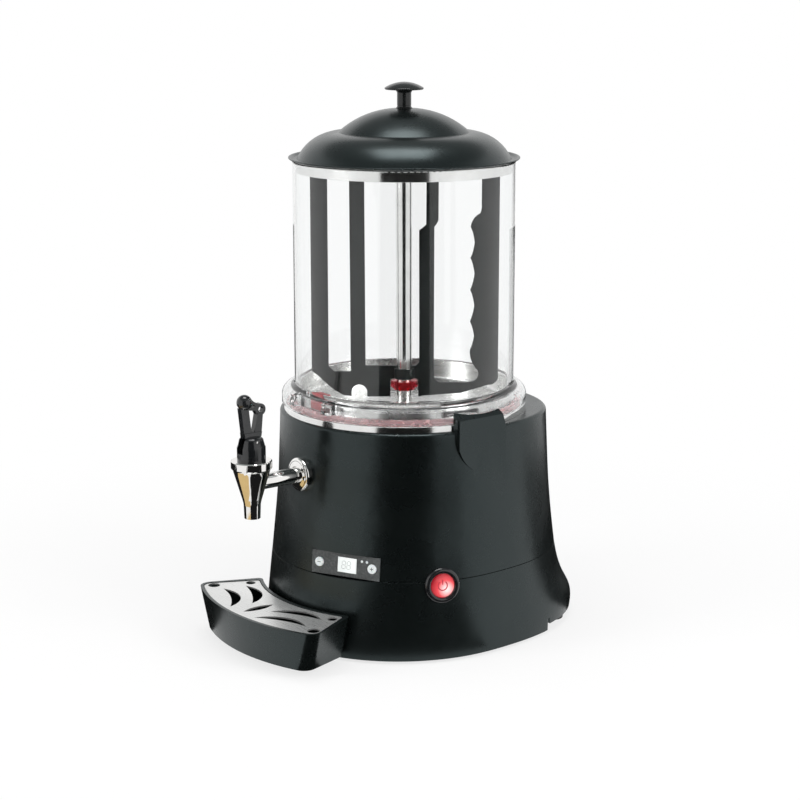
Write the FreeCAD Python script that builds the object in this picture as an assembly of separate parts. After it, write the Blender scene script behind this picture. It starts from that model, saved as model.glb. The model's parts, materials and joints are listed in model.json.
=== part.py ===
import FreeCAD, Part
import math
import os

from FreeCAD import Vector

os.makedirs("parts", exist_ok=True)

# All sizes are millimetres. The pieces are drawn about the upright axis of the bowl, with
# the tap at -Y, and are then moved back by AXIS_Y, so that the origin is under the middle
# of the footprint.
AXIS_Y = 17.0
WALL = 3.0
SEAM_Z = 85.0
SEAM_GAP = 0.7
DECK_Z = 238.0
DECK_ROUND = 4.0

# Plan of the housing: height, half width, reach to the front, reach to the rear.
SKIRT_PLAN = [
    (3.0, 145.8, 152.4, 184.6),
    (14.0, 145.6, 151.4, 187.6),
    (27.0, 145.0, 150.0, 187.2),
    (40.0, 144.3, 148.5, 179.4),
    (54.0, 143.5, 146.8, 170.8),
    (70.0, 142.3, 144.9, 164.4),
    (SEAM_Z, 141.1, 143.0, 160.6),
]
BODY_PLAN = [
    (SEAM_Z, 141.1, 143.0, 160.6),
    (110.0, 139.0, 140.2, 157.2),
    (135.0, 137.0, 137.5, 154.4),
    (161.0, 135.6, 135.0, 152.0),
    (187.0, 134.9, 133.6, 150.2),
    (212.0, 134.4, 132.3, 148.6),
    (DECK_Z, 134.0, 131.3, 147.0),
]
SKIRT_FOOT_Z = SKIRT_PLAN[0][0]
REAR_ROUNDNESS = 2.5
SECTION_POINTS = 28
REAR_SKIRT_LIFT = 6.5
SKIRT_SLOT_Y = 91.0
SKIRT_SLOT_WIDTH = 4.0
SKIRT_SLOT_TOP = 16.0

# Ears: the flat sides of the housing run forward and up beside the collar of the bowl.
EAR_X = 134.0
EAR_FRONT_Y = -35.0
EAR_REAR_Y = 21.0
EAR_TOP_Z = 250.0
EAR_CREST_Z = 257.5
EAR_TOE_Y = 2.0
EAR_TOE_Z = 189.0

# Bowl and lid.
BOWL_R = 116.2
BOWL_WALL = 3.0
BOWL_FOOT_Z = 249.8
BOWL_TOP_Z = 499.6
COLLAR_R = 130.0
COLLAR_FOOT_Z = 245.3
COLLAR_TOP_Z = 263.0
RING_R = 128.5
RING_INNER_R = 124.3
RING_TOP_Z = 245.0
LID_R = 120.5
LID_RIM_Z = 503.5
LID_STEP_R = 67.5
LID_STEP_Z = 529.5
LID_TOP_Z = 553.0
LID_WALL = 2.6
KNOB_R = 20.2
KNOB_STEM_R = 7.4
TOP_Z = 580.0

# Pan, water bath and standpipe.
PAN_R = 112.0
PAN_WALL = 1.5
PAN_FLOOR_Z = 244.0
PAN_RIM_Z = 266.0
FLANGE_R = 124.0
TANK_R = 104.0
TANK_WALL = 1.5
TANK_FLOOR_Z = 150.0
TANK_FLANGE_Z = 239.5
GASKET_Z = 240.5
DECK_HOLE_R = 106.5
OUTLET_HALF = 9.0
OUTLET_SILL_Z = 250.2
OUTLET_TOP_Z = 265.4
COLUMN_R = 8.5
COLUMN_BORE_R = 7.0
COLUMN_TOP_Z = 484.0
SHAFT_R = 4.0
RUNNING = 0.05
SHAFT_FOOT_Z = 98.0
SHAFT_TOP_Z = 498.0

# Paddle, a flat frame that stands across the bowl. It is drawn in its own plane.
PADDLE_REST_AZIMUTH = 52.0
PADDLE_THICK = 4.0
PADDLE_R = 100.0
PADDLE_FOOT_Z = 248.0
PADDLE_TOP_Z = 496.0

# Gear pair and motor under the water bath.
GEAR_MODULE = 1.25
GEAR_TEETH = 48
PINION_TEETH = 12
GEAR_Z = 110.0
GEAR_WIDTH = 10.0
GEAR_CENTRES = GEAR_MODULE * (GEAR_TEETH + PINION_TEETH) / 2
GEARBOX_BIG_R = 38.0
GEARBOX_SMALL_R = 15.0
GEARBOX_WALL = 2.5
GEARBOX_COVER = 3.0
GEARBOX_FLOOR_Z = 101.0
GEARBOX_TOP_Z = 127.0
MOTOR_R = 27.0
MOTOR_FOOT_Z = 36.0

# Tap, in front of the bowl.
TAP_Y = -196.0
SPOUT_Z = 148.0
SPOUT_TOP_Z = 168.0
SPOUT_BORE_R = 5.6
TAP_COLLAR_R = 21.0
TAP_COLLAR_Z = 209.0
SHANK_Z = 184.0
SHANK_R = 8.0
PIVOT_Z = 229.0
CAM_START = 8.0
CAM_LIFT = 4.0
LEVER_ANGLE = 40.0
HANDLE_THICK = 9.0

# Drip tray.
TRAY_INNER_R = 153.8
TRAY_OUTER_R = 222.0
TRAY_TOP_Z = 50.6
TRAY_FLOOR_Z = 8.0
TRAY_FLOOR = 2.5
TRAY_RIM = 5.0
TRAY_LEDGE = 1.6
GRATE_TOP_Z = 50.0
GRATE_THICK = 1.6

# Control panel and switch, each on a radius of the housing.
PANEL_AZIMUTH = 26.0
PANEL_DISTANCE = 136.4
PANEL_Z = 98.0
PANEL_LEAN = 6.0
PANEL_LENGTH = 78.0
PANEL_HEIGHT = 24.0
PANEL_THICK = 2.4
BUTTON_R = 4.9
SWITCH_AZIMUTH = 68.0
SWITCH_DISTANCE = 141.6
SWITCH_Z = 81.0
SWITCH_LEAN = 5.0
SWITCH_R = 18.6
SWITCH_CAP_R = 12.6

# Mains inlet in the rear wall.
INLET_Z = 118.0
INLET_FACE_Y = 158.6
INLET_WIDTH = 50.0
INLET_HEIGHT = 28.0

pieces = {}


def v(x, y, z):
    return Vector(x, y, z)


def box(x0, x1, y0, y1, z0, z1):
    return Part.makeBox(x1 - x0, y1 - y0, z1 - z0, v(x0, y0, z0))


def cyl(r, z0, z1, x=0.0, y=0.0):
    return Part.makeCylinder(r, z1 - z0, v(x, y, z0))


def ring(r_out, r_in, z0, z1, x=0.0, y=0.0):
    return cyl(r_out, z0, z1, x, y).cut(cyl(r_in, z0 - 1, z1 + 1, x, y))


def rod(r, start, end):
    """Round bar from one point to another."""
    way = end - start
    return Part.makeCylinder(r, way.Length, start, way)


def outline(points, to_3d):
    """Closed wire through points; one of four numbers is an arc through its first two."""
    edges = []
    last = to_3d(*points[0])
    first = last
    for point in points[1:] + [points[0]]:
        end = to_3d(*point[-2:])
        if len(point) == 4:
            edges.append(Part.Arc(last, to_3d(*point[:2]), end).toShape())
        elif (end - last).Length > 1e-6:
            edges.append(Part.makeLine(last, end))
        last = end
    if (last - first).Length > 1e-6:
        edges.append(Part.makeLine(last, first))
    return Part.Wire(edges)


def turned(points, x=0.0, y=0.0):
    """Solid of revolution about an upright axis, from (radius, height) points."""
    face = Part.Face(outline(points, lambda r, z: v(r + x, y, z)))
    return face.revolve(v(x, y, 0), v(0, 0, 1), 360)


def slab(points, z0, z1):
    """Flat plate from (x, y) points."""
    face = Part.Face(outline(points, lambda x, y: v(x, y, z0)))
    return face.extrude(v(0, 0, z1 - z0))


def side_plate(points, x0, x1):
    """Plate across X from (y, z) points."""
    face = Part.Face(outline(points, lambda y, z: v(x0, y, z)))
    return face.extrude(v(x1 - x0, 0, 0))


def upright_plate(points, thick):
    """Plate in the XZ plane from (x, z) points, centred on it."""
    face = Part.Face(outline(points, lambda x, z: v(x, -thick / 2, z)))
    return face.extrude(v(0, thick, 0))


def fuse(shapes):
    whole = shapes[0]
    for shape in shapes[1:]:
        whole = whole.fuse(shape)
    return whole.removeSplitter()


def cut(shape, tools):
    for tool in tools:
        shape = shape.cut(tool)
    return shape


def rounded(shape, radius, wanted):
    edges = [edge for edge in shape.Edges if wanted(edge)]
    return shape.makeFillet(radius, edges)


def spin(shape, degrees):
    """Copy turned about the bowl's axis."""
    copy = shape.copy()
    copy.rotate(v(0, 0, 0), v(0, 0, 1), degrees)
    return copy


def mirrored(shape):
    """Copy on the other side of the YZ plane."""
    return shape.mirror(v(0, 0, 0), v(1, 0, 0))


def on_wall(shape, azimuth, distance, height, lean):
    """Place a piece drawn with its front at -Y on the housing's wall."""
    copy = shape.copy()
    copy.rotate(v(0, 0, 0), v(1, 0, 0), -lean)
    copy.translate(v(0, -distance, height))
    copy.rotate(v(0, 0, 0), v(0, 0, 1), azimuth)
    return copy


def keep(name, shape):
    pieces[name] = shape


# Housing

def section_point(angle, half_width, front, rear):
    c = math.cos(angle)
    s = math.sin(angle)
    if s <= 0:
        return half_width * c, front * s
    power = 2.0 / REAR_ROUNDNESS
    x = half_width * math.copysign(abs(c) ** power, c)
    return x, rear * s ** power


def section(z, half_width, front, rear, inset):
    points = []
    for i in range(SECTION_POINTS):
        angle = 2 * math.pi * (i + 0.5) / SECTION_POINTS
        x, y = section_point(angle, half_width - inset, front - inset, rear - inset)
        points.append(v(x, y, z))
    curve = Part.BSplineCurve()
    curve.interpolate(Points=points, PeriodicFlag=True)
    return Part.Wire([curve.toShape()])


def wall_reach(x, y, z):
    """Distance from the bowl's axis to the outer wall, towards (x, y), at a height."""
    plan = SKIRT_PLAN if z <= SEAM_Z else BODY_PLAN
    low, high = [pair for pair in zip(plan, plan[1:]) if pair[0][0] <= z][-1]
    t = (z - low[0]) / (high[0] - low[0])
    half_width, front, rear = [a + (b - a) * t for a, b in zip(low[1:], high[1:])]
    depth = front if y < 0 else rear
    power = 2.0 if y < 0 else REAR_ROUNDNESS
    far = math.hypot(x, y)
    sum_of_powers = (abs(x) / far / half_width) ** power + (abs(y) / far / depth) ** power
    return sum_of_powers ** (-1.0 / power)


lofts = {}


def whole_loft(plan, inset):
    key = (plan[0][0], inset)
    if key not in lofts:
        lofts[key] = Part.makeLoft([section(*sizes, inset) for sizes in plan], True, False)
    return lofts[key]


def housing_solid(inset, z0, z1):
    """The housing's outer form, taken in by inset, between two heights."""
    layer = box(-200, 200, -200, 250, z0, z1)
    if z1 <= SEAM_Z:
        return whole_loft(SKIRT_PLAN, inset).common(layer)
    if z0 >= SEAM_Z:
        return whole_loft(BODY_PLAN, inset).common(layer)
    both = whole_loft(SKIRT_PLAN, inset).fuse(whole_loft(BODY_PLAN, inset))
    return both.common(layer)


def ear():
    """One raised side pad, right-hand side, before the clearance for the bowl is cut."""
    front = EAR_FRONT_Y
    side = [
        (EAR_REAR_Y + 7, EAR_TOE_Z - 2), (EAR_REAR_Y + 7, DECK_Z), (EAR_REAR_Y, EAR_CREST_Z + 1),
        (front, EAR_CREST_Z + 1), (front, 238),
        (front + 4.5, 213, front + 17, 199),
        (front + 24.5, 192.5, EAR_TOE_Y, EAR_TOE_Z),
    ]
    pad = side_plate(side, 110.0, EAR_X)
    slope = [(EAR_X + 1, EAR_TOP_Z), (EAR_X + 1, EAR_CREST_Z + 9),
             (100, EAR_CREST_Z + 9), (100, EAR_CREST_Z), (126.0, EAR_CREST_Z),
             (EAR_X, EAR_TOP_Z)]
    above = upright_plate(slope, 300)
    nose = slab([(EAR_X + 1, front - 1), (EAR_X + 1, front + 2.6),
                 (124.0, front - 9), (124.0, front - 12)], 150, 300)
    return pad.cut(above).cut(nose)


def screw(x, y, z_head, length, head_r, shank_r):
    head = rounded(cyl(head_r, z_head, z_head + 2.2, x, y), 0.8,
                   lambda e: e.BoundBox.ZMax < z_head + 0.01)
    drive = box(x - head_r * 0.6, x + head_r * 0.6, y - 0.5, y + 0.5, z_head - 1, z_head + 1)
    cross = box(x - 0.5, x + 0.5, y - head_r * 0.6, y + head_r * 0.6, z_head - 1, z_head + 1)
    return head.cut(drive).cut(cross).fuse(cyl(shank_r, z_head + 2, z_head + length, x, y))


LOUVRE_COUNT = 6
LOUVRE_FOOT_Z = 168.0
LOUVRE_PITCH = 8.0
LOUVRE_HEIGHT = 3.0
TRAY_LUG_X = 40.0
BOSS_R = 6.0
BOSS_TOP_Z = 38.0
WEB_THICK = 3.0
PLATE_FOOT_Z = 14.5
PLATE_TOP_Z = 17.0
SCREW_HEAD_R = 4.0
SCREW_SHANK_R = 1.8
SCREW_PLACES = [(x, y) for y in (-104.0, 118.0) for x in (-88.0, 88.0)]
FOOT_PLACES = {
    "foot_front_left": (-72.0, -108.0), "foot_front_right": (72.0, -108.0),
    "foot_rear_left": (-100.0, 128.0), "foot_rear_right": (100.0, 128.0),
}


def panel_opening():
    half = PANEL_LENGTH / 2 + 0.6
    tall = PANEL_HEIGHT / 2 + 0.6
    return on_wall(box(-half, half, -30, 30, -tall, tall),
                   PANEL_AZIMUTH, PANEL_DISTANCE, PANEL_Z, PANEL_LEAN)


def switch_opening():
    hole = rod(SWITCH_CAP_R + 1.9, v(0, -30, 0), v(0, 30, 0))
    return on_wall(hole, SWITCH_AZIMUTH, SWITCH_DISTANCE, SWITCH_Z, SWITCH_LEAN)


def make_housing():
    outer = housing_solid(0.0, SEAM_Z + SEAM_GAP, DECK_Z)
    outer = rounded(outer, DECK_ROUND,
                    lambda e: abs(e.BoundBox.ZMin - DECK_Z) < 0.01)
    pad = ear()
    outer = fuse([outer, pad, mirrored(pad)])
    inner = housing_solid(WALL, SEAM_Z, DECK_Z - WALL)
    clearance = [
        inner,
        cyl(DECK_HOLE_R, DECK_Z - 10, DECK_Z + 1),
        cyl(COLLAR_R + 0.6, DECK_Z, DECK_Z + 60),
        rod(SHANK_R + 1.0, v(0, -160, SHANK_Z), v(0, -120, SHANK_Z)),
        panel_opening(),
        switch_opening(),
        box(-INLET_WIDTH / 2 - 0.3, INLET_WIDTH / 2 + 0.3, 130, 200,
            INLET_Z - INLET_HEIGHT / 2 - 0.3, INLET_Z + INLET_HEIGHT / 2 + 0.3),
    ]
    for i in range(LOUVRE_COUNT):
        z = LOUVRE_FOOT_Z + LOUVRE_PITCH * i
        clearance.append(box(-36, 36, 120, 170, z, z + LOUVRE_HEIGHT))
    upper = cut(outer, clearance)
    keep("upper_housing", upper.Solids[0])

    skirt = housing_solid(0.0, SKIRT_FOOT_Z, SEAM_Z)
    hollow = housing_solid(WALL, SKIRT_FOOT_Z - 1, SEAM_Z)
    lugs = [box(x - 8.5, x + 8.5, -160, -120, 23.5, 36.5) for x in (-TRAY_LUG_X, TRAY_LUG_X)]
    half_slot = SKIRT_SLOT_WIDTH / 2
    slots = [box(-160, 160, SKIRT_SLOT_Y - half_slot, SKIRT_SLOT_Y + half_slot, -1, SKIRT_SLOT_TOP)]
    rear_gap = box(-160, 160, SKIRT_SLOT_Y, 250, -1, SKIRT_FOOT_Z + REAR_SKIRT_LIFT)
    lower = cut(skirt, [hollow, rear_gap, panel_opening(), switch_opening()] + lugs + slots)
    supports = []
    for x, y in SCREW_PLACES:
        far = math.hypot(x, y)
        end = wall_reach(x, y, BOSS_TOP_Z) - 0.5
        web = box(far, end, -WEB_THICK / 2, WEB_THICK / 2, 21.0, BOSS_TOP_Z)
        supports.append(spin(web, math.degrees(math.atan2(y, x))))
        supports.append(cyl(BOSS_R, PLATE_TOP_Z, BOSS_TOP_Z, x, y))
    lower = fuse([lower.Solids[0]] + supports)
    holes = [cyl(SCREW_SHANK_R + 0.1, PLATE_TOP_Z - 1.0, BOSS_TOP_Z - 2.0, x, y)
             for x, y in SCREW_PLACES]
    lower = cut(lower, holes)
    keep("lower_housing", lower.Solids[0])

    plate = housing_solid(WALL + 0.5, PLATE_FOOT_Z, PLATE_TOP_Z)
    plate = cut(plate, [cyl(2.3, 10, 20, x, y) for x, y in SCREW_PLACES])
    plate = cut(plate, [cyl(3.2, 10, 20, x, y) for x, y in FOOT_PLACES.values()])
    vents = [box(-30 + 10 * i, -26 + 10 * i, -60, -20, 10, 20) for i in range(7)]
    plate = cut(plate, vents)
    keep("bottom_plate", plate)

    head_z = PLATE_FOOT_Z - 2.2
    screws = [screw(x, y, head_z, 20.0, SCREW_HEAD_R, SCREW_SHANK_R) for x, y in SCREW_PLACES]
    keep("housing_screws", Part.makeCompound(screws))

    for name, (x, y) in FOOT_PLACES.items():
        pad = turned([(0, 0), (10.5, 0), (11.6, 0.3, 12, 1.4), (10, 14.5), (3.1, 14.5),
                      (3.1, 17.0), (4.2, 17.2), (2.6, 20.5), (0, 20.5)], x, y)
        keep(name, pad)


def make_trim_ring():
    keep("trim_ring", turned([
        (RING_INNER_R, DECK_Z), (RING_R, DECK_Z), (RING_R, RING_TOP_Z - 1.6),
        (RING_R - 0.5, RING_TOP_Z - 0.5, RING_R - 1.6, RING_TOP_Z),
        (RING_INNER_R, RING_TOP_Z)]))


# Bowl and lid

def make_bowl():
    inner = BOWL_R - BOWL_WALL
    skirt = COLLAR_R - 3.0
    bowl = turned([
        (inner, BOWL_FOOT_Z), (inner, BOWL_TOP_Z - 1.5),
        (BOWL_R - 1.5, BOWL_TOP_Z, BOWL_R, BOWL_TOP_Z - 1.5),
        (BOWL_R, 269.5), (117.3, 265.2, 120.5, COLLAR_TOP_Z),
        (127.5, 259.5, COLLAR_R, 252.0), (COLLAR_R, COLLAR_FOOT_Z),
        (skirt, COLLAR_FOOT_Z), (skirt, 251.5), (124.9, 257.0, 119.5, 259.6),
        (BOWL_R, 259.6), (BOWL_R, BOWL_FOOT_Z)])
    lug = box(-6, 6, -COLLAR_R + 2.5, -BOWL_R + 0.5, 250.4, 261.0)
    keep("bowl", fuse([bowl, spin(lug, 13.0), spin(lug, -13.0)]))
    keep("bowl_gasket", turned([
        (PAN_R + 0.4, PAN_FLOOR_Z - 2.0), (RING_INNER_R - 0.3, PAN_FLOOR_Z - 2.0),
        (RING_INNER_R - 0.3, 245.0), (119.0, 246.2), (117.6, BOWL_FOOT_Z - 0.3),
        (PAN_R + 0.4, BOWL_FOOT_Z - 0.3)]))


def make_lid():
    inner = BOWL_R - BOWL_WALL
    keep("lid", turned([
        (inner - 3.6, 489.5), (inner - 2.0, 489.5), (inner - 2.0, BOWL_TOP_Z + 0.3),
        (BOWL_R + 0.6, BOWL_TOP_Z + 0.3), (LID_R - 0.6, 501.9),
        (LID_R, 502.6, LID_R - 0.7, LID_RIM_Z), (LID_R - 2.4, LID_RIM_Z - 0.3),
        (LID_R - 4.6, 501.4), (111.8, 501.2), (99.5, 517.5, LID_STEP_R + 0.8, LID_STEP_Z - 0.6),
        (LID_STEP_R, LID_STEP_Z), (42.0, 545.5, 9.0, LID_TOP_Z), (2.6, LID_TOP_Z),
        (2.6, LID_TOP_Z - LID_WALL), (9.0, LID_TOP_Z - LID_WALL),
        (40.5, 543.0, LID_STEP_R - 0.6, 526.8), (97.5, 515.0, 108.6, 498.6),
        (inner - 3.6, 498.0)]))
    keep("lid_band", ring(inner - 0.4, inner - 1.95, 489.0, BOWL_TOP_Z - 0.6))
    edge_r = KNOB_R - 0.6
    edge_z = 574.4
    crown = (edge_r ** 2 + (TOP_Z - edge_z) ** 2) / (2 * (TOP_Z - edge_z))
    half_way = edge_r / 2
    half_z = TOP_Z - crown + math.sqrt(crown ** 2 - half_way ** 2)
    keep("lid_knob", turned([
        (2.6, LID_TOP_Z), (KNOB_STEM_R + 1.6, LID_TOP_Z),
        (KNOB_STEM_R + 0.3, LID_TOP_Z + 1.2, KNOB_STEM_R, LID_TOP_Z + 3.4),
        (KNOB_STEM_R, 569.0), (8.6, 570.9, 10.8, 571.4), (18.6, 572.2),
        (KNOB_R, 573.0, edge_r, edge_z), (half_way, half_z, 0, TOP_Z),
        (0, 570.0), (2.6, 570.0)]))
    head = turned([(0, LID_TOP_Z - 5.4), (3.6, LID_TOP_Z - 5.4), (4.6, LID_TOP_Z - 2.6),
                   (2.2, LID_TOP_Z - 2.6), (2.2, 568.5), (0, 568.5)])
    slot = box(-5, 5, -0.6, 0.6, LID_TOP_Z - 6, LID_TOP_Z - 4.2)
    keep("lid_knob_screw", head.cut(slot))


# Pan, water bath and standpipe

def make_pan():
    top = GASKET_Z + 1.5
    pan = turned([
        (COLUMN_R + 0.1, top), (COLUMN_R + 0.1, PAN_FLOOR_Z), (106.0, PAN_FLOOR_Z),
        (109.4, 245.2, PAN_R - PAN_WALL, 248.5), (PAN_R - PAN_WALL, PAN_RIM_Z - 0.7),
        (PAN_R - PAN_WALL / 2, PAN_RIM_Z, PAN_R, PAN_RIM_Z - 0.7), (PAN_R, top),
        (FLANGE_R, top), (FLANGE_R, GASKET_Z), (108.0, GASKET_Z), (108.0, top)])
    notch = box(-OUTLET_HALF - 0.05, OUTLET_HALF + 0.05, -116, -104, OUTLET_SILL_Z, 270)
    keep("heating_pan", cut(pan, [cyl(5.6, 236, 250, 0, -96.0), notch]))
    tank = turned([
        (0, TANK_FLOOR_Z), (98.0, TANK_FLOOR_Z), (102.4, 151.6, TANK_R, 156.0),
        (TANK_R, DECK_Z), (FLANGE_R, DECK_Z), (FLANGE_R, TANK_FLANGE_Z),
        (TANK_R - TANK_WALL, TANK_FLANGE_Z), (TANK_R - TANK_WALL, 156.4),
        (101.2, 152.9, 97.8, TANK_FLOOR_Z + TANK_WALL), (0, TANK_FLOOR_Z + TANK_WALL)])
    tank = fuse([tank, ring(11.0, 8.0, TANK_FLOOR_Z, GASKET_Z + 1.5)]).cut(cyl(8.0, 140, 160))
    holes = [cyl(5.1, 140, 160, 12.5 * side, 79.0) for side in (-1, 1)]
    holes.append(rod(3.1, v(60, -60, 175), v(100, -100, 175)))
    holes.append(cyl(8.2, 140, 160, 0, -93.0))
    keep("water_tank", cut(tank, holes))
    keep("tank_seal", ring(FLANGE_R, 110.0, TANK_FLANGE_Z, GASKET_Z))

    loop = Part.makeTorus(80.0, 4.0, v(0, 0, 166), v(0, 0, 1), 0, 360, 342)
    legs = [cyl(5.0, 132.0, 171.5, 12.5 * side, 79.0) for side in (-1, 1)]
    keep("heating_element", fuse([spin(loop, 99.0)] + legs))
    probe = rod(3.0, v(48, -48, 175), v(86, -86, 175))
    collar = rod(6.5, v(75, -75, 175), v(79, -79, 175))
    keep("temperature_probe", fuse([probe, collar]))
    cutout = fuse([cyl(9.0, TANK_FLOOR_Z - 5.0, TANK_FLOOR_Z, 46, 46),
                   cyl(5.0, TANK_FLOOR_Z - 12.0, TANK_FLOOR_Z - 4.0, 46, 46)])
    tabs = box(43, 49, 45.5, 46.3, TANK_FLOOR_Z - 18.0, TANK_FLOOR_Z - 11.0)
    keep("thermal_cutout", fuse([cutout, tabs]))


def make_column():
    column = turned([
        (COLUMN_BORE_R, GEARBOX_TOP_Z + 15.0), (7.9, GEARBOX_TOP_Z + 15.0),
        (7.9, GASKET_Z + 1.5), (COLUMN_R, GASKET_Z + 1.5), (COLUMN_R, COLUMN_TOP_Z - 1.0),
        (COLUMN_R - 1.0, COLUMN_TOP_Z), (COLUMN_BORE_R, COLUMN_TOP_Z)])
    keep("mixer_column", column)
    keep("column_seal", turned([
        (COLUMN_R + 0.05, 256.0), (11.0, 256.0), (12.6, 258.6), (14.4, 259.4), (14.4, 264.6),
        (13.6, 265.6), (COLUMN_R + 0.05, 265.6)]))
    bushes = [ring(COLUMN_BORE_R, SHAFT_R + RUNNING, z, z + 12.0)
              for z in (GEARBOX_TOP_Z + 20.0, COLUMN_TOP_Z - 13.0)]
    keep("column_bushes", Part.makeCompound(bushes))


# Paddle and its drive

def make_paddle():
    body = [
        (-98.3, 276.0), (-98.3, PADDLE_TOP_Z - 3), (-95.3, PADDLE_TOP_Z),
        (97.0, PADDLE_TOP_Z), (PADDLE_R, PADDLE_TOP_Z - 3), (PADDLE_R, 272.0),
        (98.5, 264.5, 90.0, 261.0), (60.0, 252.0), (20.0, PADDLE_FOOT_Z + 1), (16.0, PADDLE_FOOT_Z),
        (-39.6, PADDLE_FOOT_Z), (-39.6, 252.4), (-48.0, 261.0, -56.4, 252.4),
        (-56.4, PADDLE_FOOT_Z + 0.6), (-66.0, 250.0), (-74.0, 254.5)]
    plate = upright_plate(body, PADDLE_THICK)
    top = 484.5
    window_left = [(-80.3, 281.0), (-80.3, top), (-57.0, top), (-57.0, 275.4), (-74.5, 275.4)]
    window_middle = [(-41.2, 281.7), (-41.2, top), (23.2, top), (23.2, 432.0),
                     (20.8, 429.8, 15.8, 426.0), (15.8, 285.5), (12.0, 281.7)]
    crests = [429.6, 396.9, 363.0, 329.3, 297.7]
    wavy = [(81.3, top), (81.3, 449.0), (80.0, 444.0), (72.5, 437.5, 69.7, crests[0])]
    for high, low in zip(crests, crests[1:]):
        middle = (high + low) / 2
        wavy.append((73.2, (high + middle) / 2 - 2.0, 74.2, middle))
        wavy.append((73.2, (middle + low) / 2 + 2.0, 69.7, low))
    wavy += [(72.0, 286.0, 78.0, 277.0), (78.0, 268.5, 70.0, 264.0), (66.0, 263.2),
             (37.0, 263.8), (31.7, 269.0), (31.7, 429.8), (34.2, 433.2, 35.9, 437.0),
             (35.9, top)]
    for window in (window_left, window_middle, wavy):
        plate = plate.cut(upright_plate(window, PADDLE_THICK + 2))
    hub = cyl(11.0, 268.0, 279.0)
    head = cyl(13.0, COLUMN_TOP_Z + 1.5, PADDLE_TOP_Z)
    bore = cyl(COLUMN_R + 0.35, 240, COLUMN_TOP_Z + 1.0)
    seat = cyl(15.0, 240, 267.6)
    paddle = fuse([plate.cut(seat), hub, head])
    key = box(-6.5, 6.5, -8.1, 8.1, 470, 510)
    paddle = paddle.cut(bore).cut(cyl(8.1, 470, 510).common(key))
    keep("paddle", spin(paddle.Solids[0], PADDLE_REST_AZIMUTH))

    core = cyl(8.0, COLUMN_TOP_Z + 1.5, PADDLE_TOP_Z + 1).common(
        box(-6.4, 6.4, -8.0, 8.0, 470, 510))
    flange = turned([(0, PADDLE_TOP_Z + 0.2), (12.0, PADDLE_TOP_Z + 0.2),
                     (12.0, PADDLE_TOP_Z + 2.4), (10.5, PADDLE_TOP_Z + 4.2),
                     (0, PADDLE_TOP_Z + 4.2)])
    head_piece = fuse([core, flange]).cut(cyl(SHAFT_R, 470, SHAFT_TOP_Z))
    keep("drive_cap", spin(head_piece, PADDLE_REST_AZIMUTH))
    keep("drive_shaft", cyl(SHAFT_R, SHAFT_FOOT_Z, SHAFT_TOP_Z))


def gear_points(teeth, module, backlash):
    """Involute teeth with short tips, as (x, y) points of one closed outline."""
    pitch = module * teeth / 2
    base = pitch * math.cos(math.radians(20))
    tip = pitch + 0.85 * module
    root = pitch - 1.15 * module
    inv = lambda a: math.tan(a) - a
    half = math.pi / (2 * teeth) - backlash / (2 * pitch)
    at_pitch = inv(math.radians(20))
    points = []
    for i in range(teeth):
        middle = 2 * math.pi * i / teeth
        flank = []
        for k in range(4):
            r = max(base, root) + (tip - max(base, root)) * k / 3
            spread = half + at_pitch - inv(math.acos(min(1.0, base / r)))
            flank.append((r, spread))
        start = flank[0][1]
        rise = [(root, start)] + flank if root < base else flank
        for r, spread in rise:
            points.append((r * math.cos(middle - spread), r * math.sin(middle - spread)))
        for r, spread in reversed(rise):
            points.append((r * math.cos(middle + spread), r * math.sin(middle + spread)))
    return points


def gear(teeth, backlash, z0, z1):
    return slab(gear_points(teeth, GEAR_MODULE, backlash), z0, z1)


def gearbox_solid(inset, z0, z1):
    """Plan of two circles and their tangents, about the wheel and the pinion."""
    r_big = GEARBOX_BIG_R - inset
    r_small = GEARBOX_SMALL_R - inset
    lean = math.asin((r_big - r_small) / GEAR_CENTRES)
    c = math.cos(lean)
    s = math.sin(lean)
    return slab([(r_big * c, r_big * s), (0, -r_big, -r_big * c, r_big * s),
                 (-r_small * c, GEAR_CENTRES + r_small * s),
                 (0, GEAR_CENTRES + r_small, r_small * c, GEAR_CENTRES + r_small * s)], z0, z1)


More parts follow.
